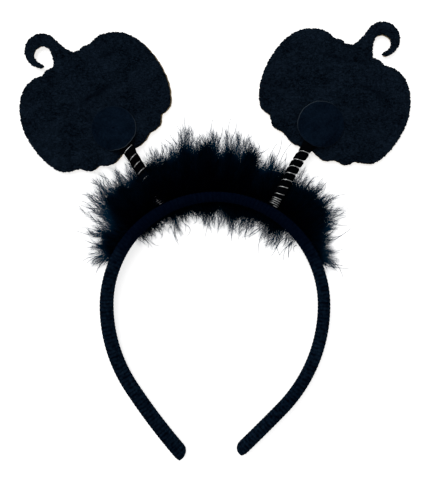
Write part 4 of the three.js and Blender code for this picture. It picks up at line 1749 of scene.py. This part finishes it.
@dataclass(frozen=True)
class MarabouTrim:
    """The feather trim: down on a cord that lies under the band's lower edge.

    Spreads of random draws are named after what they vary. Pairs are ranges, or go from foot to tip for the
    sizes of strays and barbs. The feathers get painted light, lighter past the down's edge: tints and fringes
    lie between two distances past the down's reach, and down_tint is the share of the fringe's painted light
    that feathers take on within the down.
    """

    band: RibbedBand
    room: FeatherRoom
    cord_from: float = -66.0
    cord_to: float = 68.0
    cord_offset: float = 1.2
    cord_radius: float = 1.6
    cord_rings: int = 90
    cord_sides: int = 12
    shaft_points: int = 9
    shaft_radius: float = 0.09
    shaft_sides: int = 4
    shaft_taper: float = 0.8
    foot_spread: float = 1.1
    lean_spread: float = 5.0
    curl_spread: float = 18.0
    shaft_length: Pair = (0.64, 0.98)
    inner_tip: Pair = (0.6, 2.2)
    inner_arch: Pair = (-0.4, 0.6)
    outer_tip: Pair = (0.3, 1.7)
    outer_arch: Pair = (-2.0, 2.0)
    outer_fill: int = 160
    inner_fill: int = 53
    fill_length: Pair = (0.5, 0.8)
    fill_scatter: float = 2.2
    over_scatter: float = 0.8
    strays: int = 4
    stray_points: int = 10
    stray_start: float = 2.5
    stray_size: Pair = (2.0, 0.9)
    stray_foot: float = 1.5
    stray_lean: float = 13.0
    stray_from: Pair = (0.55, 0.8)
    stray_bend: float = 0.3
    stray_length: Pair = (5.0, 10.0)
    stray_height: Pair = (0.8, 5.0)
    wisp_height: Pair = (1.0, 6.0)
    barb_spacing: float = 0.54
    barb_spread: Pair = (0.8, 0.5)
    barb_roll: float = 1.1
    outer_barbs: Pair = (9.5, 5.5)
    inner_barbs: Pair = (6.5, 4.0)
    edge_depth: float = 2.4
    edge_density: float = 8.0
    edge_length: float = 6.0
    edge_tilt: Pair = (0.0, 1.05)
    inner_share: float = 0.65
    inner_shown: Pair = (0.5, 3.0)
    edge_shown: Pair = (0.8, 0.98)
    down_rings: int = 420
    down_sides: int = 22
    down_least: float = 2.0
    down_height: float = 2.3
    down_rise: float = 2.2
    down_waves: tuple[Pair, ...] = ((5.3, 0.6), (2.3, 0.8), (1.1, 0.7))
    inner_waves: float = 0.5
    rise_waves: float = 0.25
    down_tint: float = 0.13
    outer_tint: Pair = (-16.0, -4.0)
    inner_tint: Pair = (-6.0, -1.0)
    outer_fringe: Pair = (-4.0, 5.0)
    inner_fringe: Pair = (-2.0, 5.0)
    seed: int = 5

    def cord_place(self, angle: Array) -> Array:
        """Places on the cord.

        Args:
            angle: Angles from the middle of the crown, in degrees.

        Returns:
            The places, the last axis holding x, y and z.
        """
        out = heading(angle) * (self.band.crown_radius + self.cord_offset)
        place = out + np.array([self.band.crown_x, self.band.crown_y, 0])
        place[..., 2] = self.band.lift(place[..., 1]) - GAP - self.cord_radius
        return place

    def shaft(self, draws: np.random.Generator, tuft: Tuft, inwards: bool, scatter: float) -> Surface:
        """One feather's shaft from the cord to its tip, with its own small differences.

        Args:
            draws: The random draws.
            tuft: The clump that it belongs to.
            inwards: Whether it lies on the inside of the band.
            scatter: How far it strays from the clump, 1 for a feather of the clump.

        Returns:
            The shaft as edges, with values "along" and "size".
        """
        foot = tuft.foot + draws.normal(0, self.foot_spread) * scatter
        foot = float(np.clip(foot, self.cord_from, self.cord_to))
        length = tuft.length * draws.uniform(*self.shaft_length)
        turn = foot + tuft.lean + draws.normal(0, self.lean_spread) * scatter + (180 if inwards else 0)
        curl = draws.normal(0, self.curl_spread)
        share = np.linspace(0, 1, self.shaft_points)
        steps = heading(turn + curl * (share[1:] - 0.5)) * length / (self.shaft_points - 1)
        start = self.cord_place(np.array(foot))
        path = start + np.concatenate([np.zeros((1, 3)), np.cumsum(steps, axis=0)])
        tip = draws.uniform(*self.inner_tip) if inwards else tuft.tip * draws.uniform(*self.outer_tip)
        arch = draws.uniform(*self.inner_arch) if inwards else tuft.arch + draws.uniform(*self.outer_arch)
        path[:, 2] = start[2] * (1 - share) + tip * share + 4 * arch * share * (1 - share)
        return Surface.strand(path, along=share, size=1 - self.shaft_taper * share)

    def shafts(self, tufts: Sequence[Tuft], inwards: bool, seed: int) -> list[tuple[float, Surface]]:
        """The shafts of all the feathers on one side of the band, with the angle of each foot.

        Args:
            tufts: The clumps.
            inwards: Whether they lie on the inside of the band.
            seed: Start of the random draws.

        Returns:
            Angles and shafts.
        """
        draws = np.random.default_rng(seed)
        made = []
        for tuft in tufts:
            for _ in range(tuft.feathers):
                made.append((tuft.foot, self.shaft(draws, tuft, inwards, 1.0)))
        for _ in range(self.inner_fill if inwards else self.outer_fill):
            foot = draws.uniform(tufts[0].foot, tufts[-1].foot)
            length = read_rows(tufts, "foot", "length", foot) * draws.uniform(*self.fill_length)
            between = Tuft(foot, length, read_rows(tufts, "foot", "lean", foot))
            made.append((foot, self.shaft(draws, between, inwards, self.fill_scatter)))
        return made

    def fringe(self, points: Array) -> Array:
        """How much painted light feathers get as they stand out of the dense down, where light shines
        through.

        Args:
            points: The feathers' points.

        Returns:
            Shares from 0 in the down to 1 at the tips.
        """
        angle, reach = self.band.round_crown(points)
        outer = reach - read_rows(DOWN, "angle", "outer", angle)
        inner = -reach - read_rows(DOWN, "angle", "inner", angle)
        painted_light_in_down = np.where(reach > 0, ease(outer, *self.outer_tint), ease(inner, *self.inner_tint))
        painted_light_past_down = np.where(reach > 0, ease(outer, *self.outer_fringe), ease(inner, *self.inner_fringe))
        return self.down_tint * painted_light_in_down + (1 - self.down_tint) * painted_light_past_down

    def cord(self) -> Surface:
        """The cord that the feathers stand on.

        Returns:
            The cord's skin.
        """
        angle = np.linspace(self.cord_from, self.cord_to, self.cord_rings)
        size = np.full(len(angle), self.cord_radius)
        place = self.cord_place(angle)
        return loft(oval_rings(place, heading(angle), UP[None], size, size, self.cord_sides))

    def down(self) -> Surface:
        """The dense down round the cord, which the feathers stand out of.

        Returns:
            The down's body, with more "nap" where its edge shows.
        """
        band = self.band
        angle = np.linspace(self.cord_from, self.cord_to, self.down_rings)
        ragged = ripple(angle, self.down_waves, self.seed)
        reach = read_rows(DOWN, "angle", "outer", angle) - self.edge_depth
        outer = band.crown_radius + np.maximum(reach + ragged, self.down_least)
        reach = read_rows(DOWN, "angle", "inner", angle) - self.edge_depth / 2
        inner = band.crown_radius - np.maximum(reach, 0) + self.inner_waves * ragged
        middle = [band.crown_x, band.crown_y, self.down_height]
        centre = heading(angle) * (outer + inner)[:, None] / 2 + middle
        rise = self.down_rise + self.rise_waves * ragged
        wide = (outer - inner) / 2
        body = loft(oval_rings(centre, heading(angle), UP[None], wide, rise, self.down_sides))
        to_edge = np.cos(ring_angles(self.down_sides))
        inner_shown = self.inner_share * ease(reach, *self.inner_shown)[:, None]
        shown = np.where(to_edge > 0, 1.0, inner_shown)
        body.values["nap"] = (shown * ease(np.abs(to_edge), *self.edge_shown)).ravel()
        return body

    def stray(self, wisp: Wisp, height: float) -> Surface:
        """One stray barb as edges for the strand tree.

        Args:
            wisp: Where it runs.
            height: How high it ends.

        Returns:
            A line that tapers to its end.
        """
        share = np.linspace(0, 1, self.stray_points)[:, None]
        start, end = np.array(wisp.start), np.array(wisp.end)
        way = end - start
        left = np.array([-way[1], way[0]]) / np.linalg.norm(way)
        plan = start + way * share + left * wisp.bow * 4 * share * (1 - share)
        share = share[:, 0]
        path = np.column_stack([plan, self.stray_start + (height - self.stray_start) * share])
        thick, thin = self.stray_size
        return Surface.strand(path, along=share, size=thick - (thick - thin) * share)

    def wisps(self) -> list[Surface]:
        """The long stray barbs: those that the photograph shows, and some past each clump.

        Returns:
            Their lines, for the strand tree.
        """
        draws = np.random.default_rng(self.seed + 2)
        made = [self.stray(wisp, draws.uniform(*self.wisp_height)) for wisp in WISPS]
        for half_turn, tufts in ((0, OUTER_TUFTS), (180, INNER_TUFTS)):
            for tuft in (tuft for tuft in tufts for _ in range(self.strays)):
                foot = self.cord_place(np.array(tuft.foot + draws.normal(0, self.stray_foot)))
                way = heading(tuft.foot + tuft.lean + draws.normal(0, self.stray_lean) + half_turn)
                start = foot + way * tuft.length * draws.uniform(*self.stray_from)
                way = way + self.stray_bend * draws.normal(0, 1, 3)
                end = start + way * draws.uniform(*self.stray_length)
                wisp = Wisp(tuple(start[:2]), tuple(end[:2]), draws.normal(0, 1))
                made.append(self.stray(wisp, draws.uniform(*self.stray_height)))
        return made

    def feather_groups(self) -> dict[str, list[Surface]]:
        """All the feathers' shafts, by the piece that they belong to.

        Returns:
            Names of pieces to shafts: the outer stretches, those over a spring, and the inner ones.
        """
        outer = self.shafts(OUTER_TUFTS, False, self.seed)
        groups = {}
        for name, low, high in (sector.value for sector in Sector):
            groups[name] = [shaft for foot, shaft in outer if low <= foot < high]
        draws = np.random.default_rng(self.seed + 3)
        groups["over_spring"] = [
            self.shaft(draws, tuft, False, self.over_scatter)
            for tuft in OVER_TUFTS for _ in range(tuft.feathers)
        ]
        groups["inner"] = [shaft for _, shaft in self.shafts(INNER_TUFTS, True, self.seed + 1)]
        return groups

    def place(self, name: str, mesh: Mesh, material: Material) -> None:
        """Settles feathers, keeps their painted fringe light as "rim" and makes them a piece."""
        keep_value(mesh, "rim", self.fringe(self.room.settle(mesh)))
        place_piece(name, mesh, material)

    def build(self) -> None:
        """Builds the cord, the down and the feathers, a piece for each stretch."""
        material = PLUME.material()
        place_piece("marabou_cord", self.cord(), material, "marabou_trim")
        down = self.down()
        values = {
            "Fibre": DOWN_BARB, "Density": self.edge_density, "Length": self.edge_length,
            "Lowest tilt": self.edge_tilt[0], "Highest tilt": self.edge_tilt[1],
        }
        edge = nap_tree().grown("marabou_edge", down, material, values, self.seed)
        self.place("marabou_down", down.mesh("marabou_down"), material)
        self.place("marabou_edge", edge, material)
        groups = self.feather_groups()
        for index, (group, shafts) in enumerate(groups.items()):
            foot_length, tip_length = self.inner_barbs if group == "inner" else self.outer_barbs
            values = {
                "Barb": FEATHER_BARB, "Spacing": self.barb_spacing, "Roll": self.barb_roll,
                "Foot length": foot_length, "Tip length": tip_length,
                "Foot spread": self.barb_spread[0], "Tip spread": self.barb_spread[1],
            }
            name, ground = f"marabou_{group}", Surface.joined(shafts)
            feathers = barb_tree().grown(name, ground, material, values, self.seed + index)
            self.place(name, feathers, material)
        lines = Surface.joined([shaft for shafts in groups.values() for shaft in shafts] + self.wisps())
        values = {"Radius": self.shaft_radius, "Sides": float(self.shaft_sides)}
        shafts = strand_tree().grown("marabou_shafts", lines, material, values)
        self.place("marabou_shafts", shafts, material)


@dataclass(frozen=True)
class Studio:
    """A white table that glows a little, soft light from the upper left, and a camera straight above."""

    mm_per_pixel: float = 0.58
    image_height: int = 480
    camera_height: float = 400.0
    camera_place: Pair = (1.16, 0.58)
    camera_clip: Pair = (0.01, 20.0)
    sensor: float = 36.0
    floor_size: float = 6000.0
    table_tone: Colour = (0.9, 0.9, 0.9, 1)
    table_roughness: float = 0.9
    table_glow: float = 0.66
    sky: float = 0.4
    sun: float = 1.3
    sun_angle: float = 50.0
    sun_tilt: float = 38.0
    sun_turn: float = 35.0

    def camera(self) -> None:
        """Sets the camera at the photograph's view."""
        lens = bpy.data.cameras.new("camera")
        lens.sensor_width = self.sensor
        lens.lens = self.sensor * self.camera_height / (self.image_height * self.mm_per_pixel)
        lens.clip_start, lens.clip_end = self.camera_clip
        holder = add_object("camera", lens)
        holder.location = Vector((*self.camera_place, self.camera_height)) * MM
        bpy.context.scene.camera = holder

    def floor(self) -> None:
        """Lays the white floor."""
        half = self.floor_size / 2
        corners = np.array([[-half, -half, 0], [half, -half, 0], [half, half, 0], [-half, half, 0]])
        mesh = Surface(corners, [(0, 1, 2, 3)]).mesh("floor")
        white, nodes, shader = new_material("white_floor")
        nodes.feed(shader, {"Emission Color": WHITE, "Emission Strength": self.table_glow})
        nodes.feed(shader, {"Roughness": self.table_roughness, "Specular IOR Level": 0.0})
        nodes.feed(shader, {"Base Color": self.table_tone})
        mesh.materials.append(white)
        add_object("floor", mesh)

    def light(self) -> None:
        """Sets the even sky and the soft light from the upper left."""
        world = bpy.data.worlds.new("sky")
        world.use_nodes = True
        nodes = ShaderNodes(world.node_tree)
        nodes.feed(world.node_tree.nodes["Background"], {"Color": WHITE, "Strength": self.sky})
        bpy.context.scene.world = world
        lamp = bpy.data.lights.new("window", "SUN")
        lamp.energy = self.sun
        lamp.angle = math.radians(self.sun_angle)
        holder = add_object("window", lamp)
        holder.rotation_euler = (-math.radians(self.sun_tilt), 0, math.radians(self.sun_turn))

    def build(self) -> None:
        """Sets up the camera, the floor and the light."""
        self.camera()
        self.floor()
        self.light()
        bpy.context.scene.view_settings.view_transform = "Standard"


def main() -> None:
    """Builds the headband's sub-assemblies in order."""
    logging.basicConfig(level=logging.INFO, format="%(name)s %(message)s")
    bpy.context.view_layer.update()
    Studio().build()
    band = RibbedBand()
    band.build()
    springs = tuple(CoilSpring(layout, band) for layout in LAYOUTS)
    pumpkins = tuple(FeltPumpkin(spring.layout, spring) for spring in springs)
    for spring, pumpkin in zip(springs, pumpkins):
        spring.build()
        pumpkin.build()
    MarabouTrim(band, FeatherRoom(band, springs, pumpkins)).build()


if __name__ == "__main__":
    main()
